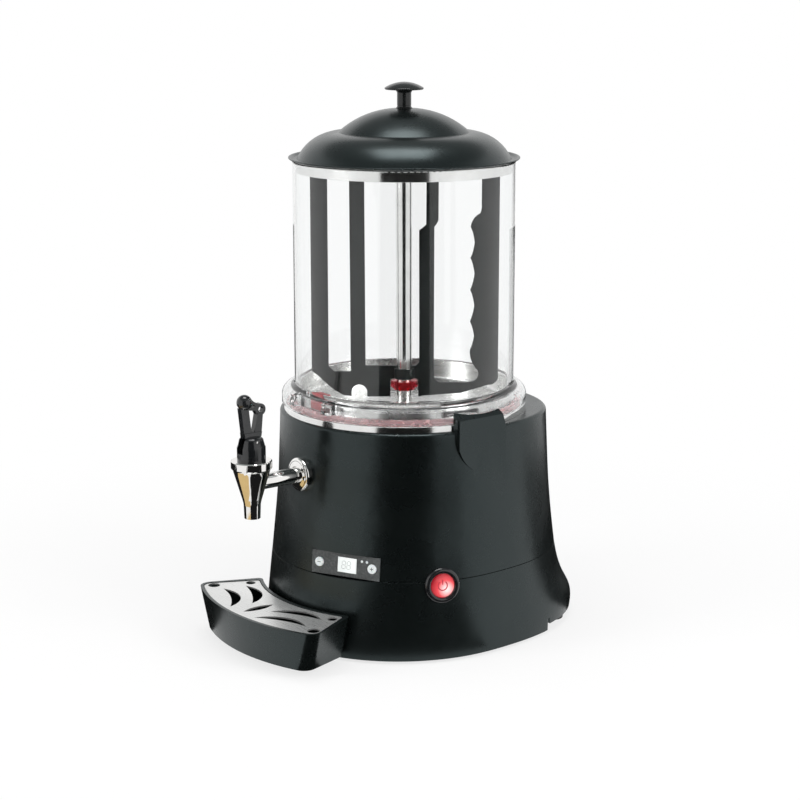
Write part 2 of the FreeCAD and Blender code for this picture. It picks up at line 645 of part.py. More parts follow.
def make_drive():
    centre = GEAR_CENTRES
    wheel = gear(GEAR_TEETH, 0.25, GEAR_Z, GEAR_Z + GEAR_WIDTH)
    wheel = cut(wheel, [cyl(SHAFT_R, 90, 130)])
    wheel = cut(wheel, [spin(cyl(5.0, 100, 130, 17.0, 0), 60.0 * i) for i in range(6)])
    boss = ring(8.0, SHAFT_R, GEAR_Z - 3.0, GEAR_Z + GEAR_WIDTH + 3.0)
    keep("output_gear", fuse([wheel, boss]))

    pinion = gear(PINION_TEETH, 0.25, GEAR_Z - 1.0, GEAR_Z + GEAR_WIDTH + 1.0)
    pinion.rotate(v(0, 0, 0), v(0, 0, 1), 180.0 / PINION_TEETH - 90.0)
    shaft = cyl(2.5, MOTOR_FOOT_Z + 6.0, GEAR_Z + GEAR_WIDTH + 3.5)
    pinion = fuse([pinion, shaft])
    pinion.translate(v(0, centre, 0))
    keep("motor_pinion", pinion)
    pieces["output_gear"].rotate(v(0, 0, 0), v(0, 0, 1), 90.0)

    floor = GEARBOX_FLOOR_Z
    top = GEARBOX_TOP_Z
    hollow = gearbox_solid(GEARBOX_WALL, floor + GEARBOX_WALL, top)
    cup = gearbox_solid(0.0, floor, top - GEARBOX_COVER).cut(hollow)
    cup = fuse([cup, ring(8.0, 7.4, floor - 6.0, floor + 1.0)])
    cup = cup.cut(cyl(7.4, 90, floor + 10)).cut(cyl(4.0, 90, 130, 0, centre))
    keep("gearbox_housing", cup)
    cover = fuse([gearbox_solid(0.0, top - GEARBOX_COVER, top),
                  cyl(11.0, top - 1.0, top + 14.8)])
    cover = cut(cover, [cyl(SHAFT_R + 0.4, 90, 160)])
    keep("gearbox_cover", cover)
    keep("shaft_bearing", ring(7.35, SHAFT_R + RUNNING, floor - 5.5, floor + 2.0))

    can = rounded(cyl(MOTOR_R, MOTOR_FOOT_Z, floor - 3.0, 0, centre), 2.5,
                  lambda e: abs(e.BoundBox.ZMin - MOTOR_FOOT_Z) < 0.01
                  and abs(e.BoundBox.ZMax - MOTOR_FOOT_Z) < 0.01)
    nose = cyl(8.0, floor - 3.5, floor, 0, centre)
    can = fuse([can, nose]).cut(cyl(2.8, MOTOR_FOOT_Z + 4.0, 120, 0, centre))
    keep("motor", can)
    plate = box(-62, 62, -48, 66, floor - 3.0, floor)
    plate = rounded(plate, 8.0, lambda e: abs(e.BoundBox.ZLength - 3.0) < 0.01)
    legs = []
    for x in (-56, 56):
        for y in (-42, 58):
            legs.append(cyl(4.0, 17.0, floor - 3.0, x, y))
    bracket = fuse([plate] + legs)
    bracket = cut(bracket, [cyl(MOTOR_R + 0.3, 80, floor - 0.5, 0, centre),
                            cyl(8.3, 80, 120, 0, centre), cyl(8.3, 80, 120)])
    keep("motor_bracket", bracket)


# Outlet and tap

def make_outlet():
    plug = box(-OUTLET_HALF, OUTLET_HALF, -110.2, -102.6, PAN_FLOOR_Z, OUTLET_TOP_Z)
    face = box(-OUTLET_HALF, OUTLET_HALF, -112.3, -104.0, OUTLET_SILL_Z + 0.05, OUTLET_TOP_Z)
    plug = fuse([plug, face])
    foot = box(-OUTLET_HALF, OUTLET_HALF, -103.0, -88.0, PAN_FLOOR_Z, PAN_FLOOR_Z + 2.4)
    foot = foot.cut(cyl(4.6, 240, 250, 0, -96.0))
    keep("outlet_plug", fuse([plug, foot]).cut(pieces["heating_pan"]))
    down = ring(5.5, 4.0, 190.0, PAN_FLOOR_Z, 0, -96.0)
    keep("outlet_pipe", down)


def make_tap():
    y = TAP_Y
    keep("tap_spout", turned([
        (SPOUT_BORE_R, SPOUT_Z), (8.2, SPOUT_Z), (8.8, 163.0), (10.0, SPOUT_TOP_Z),
        (SPOUT_BORE_R, SPOUT_TOP_Z)], 0, y))
    body = turned([
        (SPOUT_BORE_R, SPOUT_TOP_Z), (10.0, SPOUT_TOP_Z), (19.2, 199.0), (TAP_COLLAR_R, 201.0),
        (TAP_COLLAR_R, TAP_COLLAR_Z - 1.0), (TAP_COLLAR_R - 1.0, TAP_COLLAR_Z),
        (14.4, TAP_COLLAR_Z), (14.4, 196.0),
        (9.6, 174.0), (SPOUT_BORE_R, 170.0)], 0, y)
    shank = rod(SHANK_R, v(0, y + 8, SHANK_Z), v(0, -112.0, SHANK_Z))
    hollow = turned([(0, 170), (9.6, 174.0), (14.4, 196.0), (14.4, 230), (0, 230)], 0, y)
    bore = rod(5.0, v(0, y + 6, SHANK_Z), v(0, -116.0, SHANK_Z))
    tap = fuse([body, shank.cut(hollow)]).cut(bore)
    keep("tap_body", tap)

    wall_y = -wall_reach(0, -1, SHANK_Z)
    dome = Part.Face(outline([
        (0, wall_y + 3.3), (17.6, wall_y + 3.3), (17.6, wall_y - 2.6),
        (16.9, wall_y - 5.4, 14.0, wall_y - 6.4), (10.5, wall_y - 7.6),
        (0, wall_y - 7.6)], lambda r, along: v(r, along, SHANK_Z)))
    flange = dome.revolve(v(0, 0, SHANK_Z), v(0, 1, 0), 360)
    flange = flange.cut(housing_solid(-0.05, 150, 220))
    flange = flange.cut(rod(SHANK_R, v(0, -150, SHANK_Z), v(0, -100, SHANK_Z)))
    keep("tap_flange", flange)

    nut_face = Part.makePolygon([
        v(13.0 * math.cos(math.radians(60 * i)), wall_y + WALL + 7.0,
          SHANK_Z + 13.0 * math.sin(math.radians(60 * i))) for i in range(7)])
    nut = Part.Face(nut_face).extrude(v(0, -6.6, 0))
    nut = nut.cut(rod(SHANK_R, v(0, -150, SHANK_Z), v(0, -100, SHANK_Z)))
    keep("tap_nut", nut.cut(housing_solid(0.0, 150, 220).cut(housing_solid(WALL + 0.05, 140, 230))))

    bonnet = turned([
        (0, 200.0), (13.9, 200.0), (13.9, TAP_COLLAR_Z), (14.6, TAP_COLLAR_Z),
        (14.6, 222.5), (13.8, 224.3), (12.6, 229.0), (10.6, 232.4, 7.0, 233.2),
        (0, 233.2)], 0, y)
    pocket = turned([(0, 190), (11.0, 190), (11.0, 212.0), (0, 212.0)], 0, y)
    slot = box(-HANDLE_THICK / 2 - 0.4, HANDLE_THICK / 2 + 0.4, y - 16, y + 16, 217.0, 240)
    bonnet = cut(bonnet, [pocket, cyl(2.15, 195, 225, 0, y), slot,
                          rod(1.55, v(-20, y, PIVOT_Z), v(20, y, PIVOT_Z))])
    keep("tap_bonnet", bonnet.Solids[0])
    keep("tap_pin", rod(1.5, v(-11.4, y, PIVOT_Z), v(11.4, y, PIVOT_Z)))

    stem = cyl(2.1, 172.0, PIVOT_Z - 6.2, 0, y)
    cross = rod(0.9, v(-4.2, y, PIVOT_Z - CAM_START), v(4.2, y, PIVOT_Z - CAM_START))
    washer = cyl(7.5, 193.0, 194.5, 0, y)
    keep("tap_plunger", fuse([stem, cross, washer]))
    keep("tap_seat_cup", turned([
        (2.15, 173.0), (4.6, 170.8), (6.4, 172.2), (8.6, 175.0), (8.2, 179.5),
        (5.0, 182.0), (2.15, 182.0)], 0, y))

    keep("tap_spring", spring(0, y, 195.0, 211.6, 6.0, 0.6, 6))
    keep("tap_handle", make_handle())


def spring(x, y, z0, z1, radius, wire, turns):
    """Round-wire coil between two heights, one unbroken tube."""
    pitch = (z1 - z0 - 2 * wire) / turns
    path = Part.makeHelix(pitch, pitch * turns, radius)
    start = Part.Wire([Part.makeCircle(wire, v(radius, 0, 0), v(0, 1, 0))])
    coil = Part.Wire(path).makePipeShell([start], True, True)
    coil.translate(v(x, y, z0 + wire))
    gap = pitch - 2 * wire
    print("tap_spring: least gap between turns %.2f mm" % gap)
    return coil


def cam_slot():
    """Slot in the handle's cheeks for the cross pin, which rises as the lever turns."""
    steps = 8
    half = 1.25
    left = []
    right = []
    for i in range(-2, steps + 3):
        t = i / steps
        angle = math.radians(LEVER_ANGLE) * t
        deep = CAM_START - CAM_LIFT * t
        y = deep * math.sin(angle)
        z = -deep * math.cos(angle)
        across = math.atan2(z, y) + 1.3
        left.append((-y - half * math.cos(across), z + half * math.sin(across)))
        right.append((-y + half * math.cos(across), z - half * math.sin(across)))
    points = left + right[::-1]
    return [(TAP_Y + y, PIVOT_Z + z) for y, z in points]


def make_handle():
    y = TAP_Y
    half = HANDLE_THICK / 2
    low = 10.8
    root = side_plate([
        (y - 3.6, PIVOT_Z - low + 3.0), (y, PIVOT_Z - low - 0.4, y + 3.6, PIVOT_Z - low + 3.0),
        (y + 5.0, PIVOT_Z), (y + 9.6, PIVOT_Z + 4.2), (y + 10.6, PIVOT_Z + 9.0),
        (y - 10.4, PIVOT_Z + 9.0), (y - 9.8, PIVOT_Z + 4.2), (y - 5.0, PIVOT_Z)], -half, half)
    front_leg = side_plate([
        (y - 10.4, PIVOT_Z + 8.0), (y - 1.4, PIVOT_Z + 8.0), (y - 4.4, 262.0),
        (y - 13.6, 264.0)], -3.6, 3.6)
    rear_leg = side_plate([
        (y + 2.0, PIVOT_Z + 8.0), (y + 10.6, PIVOT_Z + 8.0), (y + 12.6, 257.0),
        (y + 6.0, 257.0)], -3.6, 3.6)
    head = Part.makeSphere(8.0, v(0, y - 7.4, 269.4))
    neck = side_plate([
        (y - 10.0, 263.0), (y - 3.0, 261.0), (y + 6.5, 259.5), (y + 8.0, 266.4),
        (y + 2.0, 269.6), (y - 5.0, 276.0)], -3.0, 3.0)
    eye = rod(6.2, v(-3.0, y + 10.0, 260.4), v(3.0, y + 10.0, 260.4))
    handle = fuse([root, front_leg, rear_leg, head, neck, eye])
    gap = box(-2.6, 2.6, y - 20, y + 20, 200, PIVOT_Z + 2.6)
    return cut(handle, [
        gap,
        rod(3.0, v(-10, y + 10.6, 260.6), v(10, y + 10.6, 260.6)),
        rod(2.0, v(-10, y + 1.6, 264.4), v(10, y + 1.6, 264.4)),
        rod(1.6, v(-10, y, PIVOT_Z), v(10, y, PIVOT_Z)),
        side_plate(cam_slot(), -10, 10)])


# Drip tray

def tray_solid(grow, z0, z1, top_shape, low_shape, corner):
    """Sector-shaped block between two heights; each shape is (inner r, outer r, x in, x out)."""
    wires = []
    for z, (r_in, r_out, x_in, x_out) in ((z0, low_shape), (z1, top_shape)):
        r_in -= grow
        r_out += grow
        x_in += grow
        x_out += grow
        y_in = -math.sqrt(r_in ** 2 - x_in ** 2)
        y_out = -math.sqrt(r_out ** 2 - x_out ** 2)
        points = [(-x_in, y_in), (0, -r_in, x_in, y_in), (x_out, y_out),
                  (0, -r_out, -x_out, y_out)]
        wires.append(outline(points, lambda x, y, z=z: v(x, y, z)))
    block = Part.makeLoft(wires, True, True)

    def upright(edge):
        return edge.BoundBox.ZLength > (z1 - z0) * 0.99

    block = rounded(block, corner, lambda e: upright(e) and e.BoundBox.YMin < -185)
    return rounded(block, corner * 0.4, lambda e: upright(e) and e.BoundBox.YMin > -180)


TRAY_TOP = (TRAY_INNER_R, TRAY_OUTER_R, 80.0, 107.5)
TRAY_LOW = (TRAY_INNER_R + 1.5, TRAY_OUTER_R - 7.0, 75.0, 92.0)


def make_tray():
    shell = tray_solid(0.0, TRAY_FLOOR_Z, TRAY_TOP_Z, TRAY_TOP, TRAY_LOW, 13.0)
    floor_z = TRAY_FLOOR_Z + TRAY_FLOOR
    t = (floor_z - TRAY_FLOOR_Z) / (TRAY_TOP_Z - TRAY_FLOOR_Z)
    low = tuple(a + (b - a) * t for a, b in zip(TRAY_LOW, TRAY_TOP))
    over = tuple(a + (b - a) * 1.05 for a, b in zip(TRAY_LOW, TRAY_TOP))
    z_over = TRAY_FLOOR_Z + (TRAY_TOP_Z - TRAY_FLOOR_Z) * 1.05
    hollow = tray_solid(-TRAY_RIM, floor_z, z_over, over, low, 8.5)
    seat_z = GRATE_TOP_Z - GRATE_THICK
    recess = tray_solid(TRAY_LEDGE - TRAY_RIM, seat_z, z_over, TRAY_TOP, TRAY_TOP, 10.0)
    tray = shell.cut(hollow).cut(recess)
    for x in (-TRAY_LUG_X, TRAY_LUG_X):
        tray = tray.fuse(box(x - 8, x + 8, -153.2, -138.5, 24.0, 36.0).cut(
            cyl(138.8, 20, 40)))
    keep("drip_tray", tray.removeSplitter().Solids[0])

    grate = tray_solid(TRAY_LEDGE - TRAY_RIM - 0.4, seat_z, GRATE_TOP_Z, TRAY_TOP, TRAY_TOP, 9.6)
    grate = rounded(grate, 0.4, lambda e: e.BoundBox.ZMin > GRATE_TOP_Z - 0.01)
    holes = [slab([(0, -209), (-5.2, -189.5, 0, -172), (5.2, -189.5, 0, -209)],
                  40, 60)]
    for front_tip, outer, rear_tip, inner in (
            ((22.0, -211.0), (37.0, -188.0), (76.0, -184.5), (45.5, -194.5)),
            ((17.0, -187.0), (30.5, -165.0), (69.0, -160.5), (39.5, -172.0))):
        crescent = slab([front_tip, outer + rear_tip, inner + front_tip], 40, 60)
        holes += [crescent, mirrored(crescent)]
    for x, y, r in ((91.5, -186.0, 6.4), (74.5, -150.5, 5.2)):
        holes += [cyl(r, 40, 60, x, y), cyl(r, 40, 60, -x, y)]
    keep("drip_grate", cut(grate, holes))


# Controls

def make_controls():
    def place(shape):
        return on_wall(shape, PANEL_AZIMUTH, PANEL_DISTANCE, PANEL_Z, PANEL_LEAN)

    half = PANEL_LENGTH / 2
    tall = PANEL_HEIGHT / 2
    plate = box(-half, half, 0, PANEL_THICK, -tall, tall)
    rim = box(-half - 2.5, half + 2.5, 5.2, 7.0, -tall - 2.5, tall + 2.5)
    posts = [box(x - 2, x + 2, PANEL_THICK, 10.0, z - 2, z + 2)
             for x in (-half + 3, half - 3) for z in (-tall + 2, tall - 2)]
    screen_x = (-9.5, 12.5)
    screen_z = (-8.0, 8.0)
    window = box(screen_x[0], screen_x[1], -1, 5, screen_z[0], screen_z[1])
    buttons = {"minus_button": -half + 9.0, "plus_button": half - 8.5}
    leds = [(half - 20.5, 6.2), (half - 14.8, 6.2)]
    holes = [window]
    holes += [rod(BUTTON_R + 0.25, v(x, -5, 0), v(x, 5, 0)) for x in buttons.values()]
    holes += [rod(1.45, v(x, -5, z), v(x, 5, z)) for x, z in leds]
    keep("control_faceplate", place(cut(fuse([plate] + posts), holes)))
    keep("display_window", place(box(screen_x[0] + 0.1, screen_x[1] - 0.1, 0.5, 6.0,
                                     screen_z[0] + 0.1, screen_z[1] - 0.1)))
    lamps = [rod(1.4, v(x, 0.1, z), v(x, 6.0, z)) for x, z in leds]
    keep("status_lights", place(Part.makeCompound(lamps)))
    board = box(-half + 1, half - 1, 10.0, 11.6, -tall + 1, tall - 1)
    parts = [box(-10, 13, 6.0, 10.0, -8.5, 8.5), box(-30, -18, 11.6, 18.0, -8, 6),
             rod(4.0, v(2, 11.6, 0), v(2, 20.0, 0)), box(16, 30, 11.6, 16.0, -6, 7)]
    switches = [box(x - 3, x + 3, 6.6, 10.0, -3, 3) for x in buttons.values()]
    keep("control_board", place(fuse([board] + parts + switches)))
    for name, x in buttons.items():
        cap = rod(BUTTON_R, v(x, -1.5, 0), v(x, 3.6, 0))
        cap = rounded(cap, 0.8, lambda e: e.BoundBox.YMax < -1.4)
        brim = rod(BUTTON_R + 1.2, v(x, 3.5, 0), v(x, 4.6, 0))
        keep(name, place(fuse([cap, brim])))

    def place_switch(shape):
        return on_wall(shape, SWITCH_AZIMUTH, SWITCH_DISTANCE, SWITCH_Z, SWITCH_LEAN)

    def turned_front(points):
        face = Part.Face(outline(points, lambda r, y: v(r, y, 0)))
        return face.revolve(v(0, 0, 0), v(0, 1, 0), 360)

    bezel = turned_front([
        (SWITCH_CAP_R + 0.4, -2.6), (15.2, -3.4, SWITCH_R, -0.6), (SWITCH_R, 3.4),
        (SWITCH_CAP_R + 1.6, 3.4), (SWITCH_CAP_R + 1.6, 22.0), (SWITCH_CAP_R - 3.0, 22.0),
        (SWITCH_CAP_R - 3.0, 20.0), (SWITCH_CAP_R + 0.4, 20.0)])
    bezel = bezel.cut(bezel_relief())
    keep("power_switch_bezel", place_switch(bezel))
    cap = turned_front([
        (0, -2.0), (SWITCH_CAP_R - 1.4, -1.6), (SWITCH_CAP_R - 0.1, -1.2, SWITCH_CAP_R, 0.6),
        (SWITCH_CAP_R, 12.0), (0, 12.0)])
    keep("power_switch_cap", place_switch(cap))
    block = turned_front([(0, 15.5), (9.4, 15.5), (9.4, 34.0), (0, 34.0)])
    blades = [box(x - 2.4, x + 2.4, 33.0, 42.0, -0.4, 0.4) for x in (-5, 5)]
    keep("power_switch_block", place_switch(fuse([block] + blades)))


def bezel_relief():
    """The housing's wall, in the switch's own frame, so that the bezel sits down on it."""
    wall = housing_solid(0.0, 50, 112).cut(housing_solid(WALL + 12, 40, 120))
    hole = switch_opening()
    wall = wall.cut(hole)
    wall.rotate(v(0, 0, 0), v(0, 0, 1), -SWITCH_AZIMUTH)
    wall.translate(v(0, SWITCH_DISTANCE, -SWITCH_Z))
    wall.rotate(v(0, 0, 0), v(1, 0, 0), SWITCH_LEAN)
    return wall


def make_inlet():
    face_y = INLET_FACE_Y
    w = INLET_WIDTH / 2
    h = INLET_HEIGHT / 2
    flange = box(-w, w, face_y - 5.0, face_y, INLET_Z - h, INLET_Z + h)
    flange = rounded(flange, 4.0, lambda e: e.BoundBox.YLength > 4.9
                     and e.BoundBox.XLength < 0.01 and e.BoundBox.ZLength < 0.01)
    body = box(-14.5, 14.5, face_y - 22.0, face_y - 4.0, INLET_Z - 11, INLET_Z + 11)
    mouth = box(-12.2, 12.2, face_y - 17.0, face_y + 1, INLET_Z - 8.2, INLET_Z + 8.2)
    corners = rounded(mouth, 5.0, lambda e: e.BoundBox.YLength > 17
                      and e.BoundBox.ZMin > INLET_Z)
    keep("power_inlet", fuse([flange, body]).cut(corners))
    pins = [box(x - 1.0, x + 1.0, face_y - 26.0, face_y - 5.0, z - 2.0, z + 2.0)
            for x, z in ((-7.0, INLET_Z - 2.0), (0.0, INLET_Z + 2.0), (7.0, INLET_Z - 2.0))]
    keep("inlet_pins", Part.makeCompound(pins))
    pieces["power_inlet"] = cut(pieces["power_inlet"], pins)


def write_pieces():
    for name, shape in sorted(pieces.items()):
        moved = shape.copy()
        moved.translate(v(0, AXIS_Y, 0))
        if not moved.isValid():
            print("not valid:", name)
        moved.exportStep("parts/" + name + ".step")
    whole = FreeCAD.BoundBox()
    for shape in pieces.values():
        whole.add(shape.BoundBox)
    print(len(pieces), "pieces, box", whole)


make_housing()
make_trim_ring()
make_bowl()
make_lid()
make_pan()
make_column()
make_paddle()
make_drive()
make_outlet()
make_tap()
make_tray()
make_controls()
make_inlet()
write_pieces()
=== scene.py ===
"""Countertop hot chocolate dispenser: its finishes and fine detail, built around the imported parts."""

import json
import math

import bmesh
import bpy
from mathutils import Matrix, Vector


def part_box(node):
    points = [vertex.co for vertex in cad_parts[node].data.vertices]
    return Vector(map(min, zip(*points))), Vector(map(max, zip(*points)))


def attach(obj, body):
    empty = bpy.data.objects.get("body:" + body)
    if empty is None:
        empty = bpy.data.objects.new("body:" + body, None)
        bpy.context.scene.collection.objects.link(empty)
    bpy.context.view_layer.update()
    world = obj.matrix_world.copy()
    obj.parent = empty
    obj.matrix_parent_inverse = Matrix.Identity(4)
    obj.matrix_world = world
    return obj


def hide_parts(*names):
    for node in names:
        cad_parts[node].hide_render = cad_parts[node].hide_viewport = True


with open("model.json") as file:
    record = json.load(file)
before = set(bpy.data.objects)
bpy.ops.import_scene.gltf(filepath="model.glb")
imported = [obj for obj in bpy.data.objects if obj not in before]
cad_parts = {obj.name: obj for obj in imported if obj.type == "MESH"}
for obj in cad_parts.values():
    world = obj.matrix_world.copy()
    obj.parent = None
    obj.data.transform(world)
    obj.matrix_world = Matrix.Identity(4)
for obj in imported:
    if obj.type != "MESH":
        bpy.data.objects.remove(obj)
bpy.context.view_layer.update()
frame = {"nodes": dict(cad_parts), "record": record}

MM = 0.001
AXIS = Vector((0.0, 0.017, 0.0))
TAP = Vector((0.0, -0.179, 0.0))
WELD = 0.000002
SMOOTH_UNDER = math.radians(32.0)

PANEL_AZIMUTH = 26.0
PANEL_DISTANCE = 136.4
PANEL_HEIGHT_Z = 98.0
PANEL_LEAN = 6.0
SWITCH_AZIMUTH = 68.0
SWITCH_DISTANCE = 141.6
SWITCH_HEIGHT_Z = 81.0
SWITCH_LEAN = 5.0

CAMERA_AZIMUTH = 52.0
CAMERA_DISTANCE = 2.0461
CAMERA_HEIGHT = 0.7118
CAMERA_PITCH = 12.89
CAMERA_YAW = 0.12
CAMERA_LENS = 88.4

CARD_DISTANCE = 3.2
CARD_HEIGHT = 2.6
OVERHEAD_HEIGHT = 2.7
FLOOR_CARD_Z = 0.0004
AMBER_CARD_Z = 0.0008
UNDER_EDGE = 0.17
CASE_REACH = 0.95

scene = bpy.context.scene
record = frame["record"]
body_of_node = {n: body for body, nodes in record["behaviour"]["bodies"].items() for n in nodes}


# Shader building

class Finish:
    """One surface finish: the principled shader, and the textures that vary it."""

    def __init__(self, name, colour, roughness, metallic=0.0):
        self.material = bpy.data.materials.new(name)
        self.material.use_nodes = True
        self.tree = self.material.node_tree
        self.shader = self.tree.nodes["Principled BSDF"]
        self.set("Base Color", (*colour, 1.0))
        self.set("Roughness", roughness)
        self.set("Metallic", metallic)
        self.place = self.add("ShaderNodeTexCoord").outputs["Object"]

    def set(self, socket, value):
        self.shader.inputs[socket].default_value = value
        return self

    def add(self, kind, **settings):
        node = self.tree.nodes.new(kind)
        for name, value in settings.items():
            setattr(node, name, value)
        return node

    def link(self, source, target):
        self.tree.links.new(source, target)
        return self

    def stretched(self, scale, centre=(0.0, 0.0, 0.0), turn=(0.0, 0.0, 0.0)):
        """Object coordinates, centred, turned and scaled apart in each direction."""
        mapping = self.add("ShaderNodeMapping", vector_type="POINT")
        mapping.inputs["Location"].default_value = [-c * s for c, s in zip(centre, scale)]
        mapping.inputs["Rotation"].default_value = turn
        mapping.inputs["Scale"].default_value = scale
        self.link(self.place, mapping.inputs["Vector"])
        return mapping.outputs["Vector"]

    def noise(self, scale, detail=4.0, roughness=0.55, place=None, distortion=0.0):
        node = self.add("ShaderNodeTexNoise")
        node.inputs["Scale"].default_value = scale
        node.inputs["Detail"].default_value = detail
        node.inputs["Roughness"].default_value = roughness
        node.inputs["Distortion"].default_value = distortion
        self.link(place or self.place, node.inputs["Vector"])
        return node.outputs["Fac"]

    def rings(self, scale, axis="Z", distortion=0.4):
        node = self.add("ShaderNodeTexWave", wave_type="RINGS", rings_direction=axis)
        node.inputs["Scale"].default_value = scale
        node.inputs["Distortion"].default_value = distortion
        node.inputs["Detail"].default_value = 3.0
        self.link(self.stretched((1, 1, 1), AXIS), node.inputs["Vector"])
        return node.outputs["Fac"]

    def spread(self, value, low, high, from_low=0.3, from_high=0.7):
        node = self.add("ShaderNodeMapRange")
        for name, number in (("From Min", from_low), ("From Max", from_high),
                             ("To Min", low), ("To Max", high)):
            node.inputs[name].default_value = number
        self.link(value, node.inputs["Value"])
        return node.outputs["Result"]

    def colours(self, value, *stops):
        ramp = self.add("ShaderNodeValToRGB").color_ramp
        node = self.tree.nodes[-1]
        while len(ramp.elements) < len(stops):
            ramp.elements.new(0.5)
        for element, (position, colour) in zip(ramp.elements, stops):
            element.position = position
            element.color = (*colour, 1.0)
        self.link(value, node.inputs["Fac"])
        return node.outputs["Color"]

    def mottle(self, value, *stops):
        return self.link(self.colours(value, *stops), self.shader.inputs["Base Color"])

    def gloss(self, value, low, high, from_low=0.3, from_high=0.7):
        shine = self.spread(value, low, high, from_low, from_high)
        return self.link(shine, self.shader.inputs["Roughness"])

    def relief(self, value, depth, strength=1.0, below=None):
        node = self.add("ShaderNodeBump")
        node.inputs["Distance"].default_value = depth
        node.inputs["Strength"].default_value = strength
        self.link(value, node.inputs["Height"])
        if below is not None:
            self.link(below, node.inputs["Normal"])
        self.link(node.outputs["Normal"], self.shader.inputs["Normal"])
        return node.outputs["Normal"]


def moulded_black():
    """Satin injection-moulded case: a fine spark-eroded grain over slow gloss changes."""
    f = Finish("moulded_black", (0.003, 0.0042, 0.004), 0.28)
    f.mottle(f.noise(14.0, 3.0), (0.3, (0.0022, 0.0032, 0.0031)), (0.7, (0.0040, 0.0054, 0.0052)))
    f.gloss(f.noise(22.0, 5.0), 0.24, 0.32)
    f.set("Specular IOR Level", 0.55)
    f.set("Specular Tint", (0.80, 0.98, 1.0, 1.0))
    broad = f.relief(f.noise(60.0, 2.0), 0.00012, 0.2)
    f.relief(f.noise(1500.0, 2.0), 0.00002, 0.25, below=broad)
    return f.material


def smooth_black():
    """Polished moulding: the knob, with faint hand marks."""
    f = Finish("smooth_black", (0.009, 0.010, 0.010), 0.2)
    f.mottle(f.noise(90.0), (0.35, (0.007, 0.008, 0.008)), (0.7, (0.010, 0.011, 0.011)))
    f.gloss(f.noise(120.0, 4.0), 0.18, 0.25)
    f.relief(f.noise(500.0), 0.00001, 0.15)
    return f.material


def painted_plate():
    f = Finish("painted_plate", (0.02, 0.021, 0.022), 0.55)
    f.mottle(f.noise(40.0), (0.3, (0.014, 0.015, 0.016)), (0.7, (0.027, 0.028, 0.029)))
    f.gloss(f.noise(70.0), 0.45, 0.62)
    f.relief(f.noise(900.0), 0.00005, 0.6)
    return f.material


def clear_polycarbonate():
    """Clear moulding: edges look a little grey by painted shade (base colour greyed at grazing angles),
    with fine wash marks in the gloss.
    """
    f = Finish("clear_polycarbonate", (1.0, 1.0, 1.0), 0.0)
    # painted shade: the base colour greys at grazing angles, standing in for the darker surroundings
    # the glass shows at its edges
    facing = f.add("ShaderNodeLayerWeight")
    facing.inputs["Blend"].default_value = 0.5
    f.mottle(facing.outputs["Facing"], (0.45, (0.975, 0.98, 0.98)), (0.80, (0.90, 0.915, 0.915)),
             (0.97, (0.52, 0.55, 0.55)))
    f.set("Transmission Weight", 1.0)
    f.set("IOR", 1.38)
    wash = f.noise(2.0, 6.0, place=f.stretched((40.0, 40.0, 9.0)))
    f.gloss(wash, 0.0, 0.035, 0.45, 0.8)
    f.relief(f.noise(18.0, 2.0), 0.0002, 0.12)
    return f.material


def red_silicone():
    f = Finish("red_silicone", (0.55, 0.016, 0.03), 0.35)
    f.mottle(f.noise(50.0), (0.3, (0.47, 0.010, 0.022)), (0.7, (0.66, 0.026, 0.045)))
    f.set("Subsurface Weight", 0.35)
    f.set("Subsurface Radius", (0.008, 0.002, 0.002))
    f.set("Sheen Weight", 0.2)
    f.gloss(f.noise(160.0), 0.28, 0.45)
    f.relief(f.noise(700.0), 0.00004, 0.5)
    return f.material


def pink_silicone():
    """Pale see-through seal: pink where it is thick."""
    f = Finish("pink_silicone", (0.92, 0.62, 0.63), 0.25)
    f.mottle(f.noise(12.0, 2.0), (0.3, (0.90, 0.50, 0.52)), (0.7, (0.95, 0.72, 0.73)))
    f.set("Subsurface Weight", 0.3)
    f.set("Subsurface Radius", (0.006, 0.003, 0.003))
    f.set("Transmission Weight", 0.5)
    f.gloss(f.noise(120.0), 0.18, 0.32)
    f.relief(f.noise(500.0), 0.00003, 0.4)
    return f.material


def see_through_red():
    """Red seal that lets the steel behind it show, deepest at its edges."""
    f = Finish("see_through_red", (0.72, 0.04, 0.06), 0.12)
    f.mottle(f.noise(40.0), (0.3, (0.62, 0.03, 0.05)), (0.7, (0.80, 0.08, 0.10)))
    f.set("Transmission Weight", 0.85)
    f.set("IOR", 1.2)
    f.gloss(f.noise(120.0), 0.08, 0.2)
    f.relief(f.noise(500.0), 0.00002, 0.3)
    return f.material


def grey_silicone():
    f = Finish("grey_silicone", (0.5, 0.5, 0.48), 0.5)
    f.mottle(f.noise(60.0), (0.3, (0.42, 0.42, 0.40)), (0.7, (0.55, 0.55, 0.53)))
    f.gloss(f.noise(150.0), 0.42, 0.58)
    f.relief(f.noise(800.0), 0.00004, 0.5)
    return f.material


def polished_steel():
    """Spun and polished stainless: bright, with faint rings about the bowl's axis."""
    f = Finish("polished_steel", (0.80, 0.80, 0.79), 0.12, 1.0)
    f.mottle(f.noise(35.0, 6.0), (0.3, (0.74, 0.74, 0.73)), (0.7, (0.85, 0.85, 0.84)))
    f.gloss(f.noise(5.0, 5.0, place=f.stretched((12.0, 12.0, 700.0))), 0.07, 0.18)
    f.relief(f.noise(3.0, 2.0, place=f.stretched((4.0, 4.0, 900.0))), 0.00001, 0.35)
    return f.material


def spun_pan():
    """Pressed pan floor: concentric tool rings and dried water marks."""
    f = Finish("spun_pan", (0.72, 0.72, 0.71), 0.24, 1.0)
    f.mottle(f.noise(30.0, 6.0), (0.35, (0.62, 0.62, 0.61)), (0.7, (0.78, 0.78, 0.77)))
    f.gloss(f.noise(45.0, 6.0), 0.16, 0.34)
    f.relief(f.rings(260.0), 0.00003, 0.5)
    return f.material


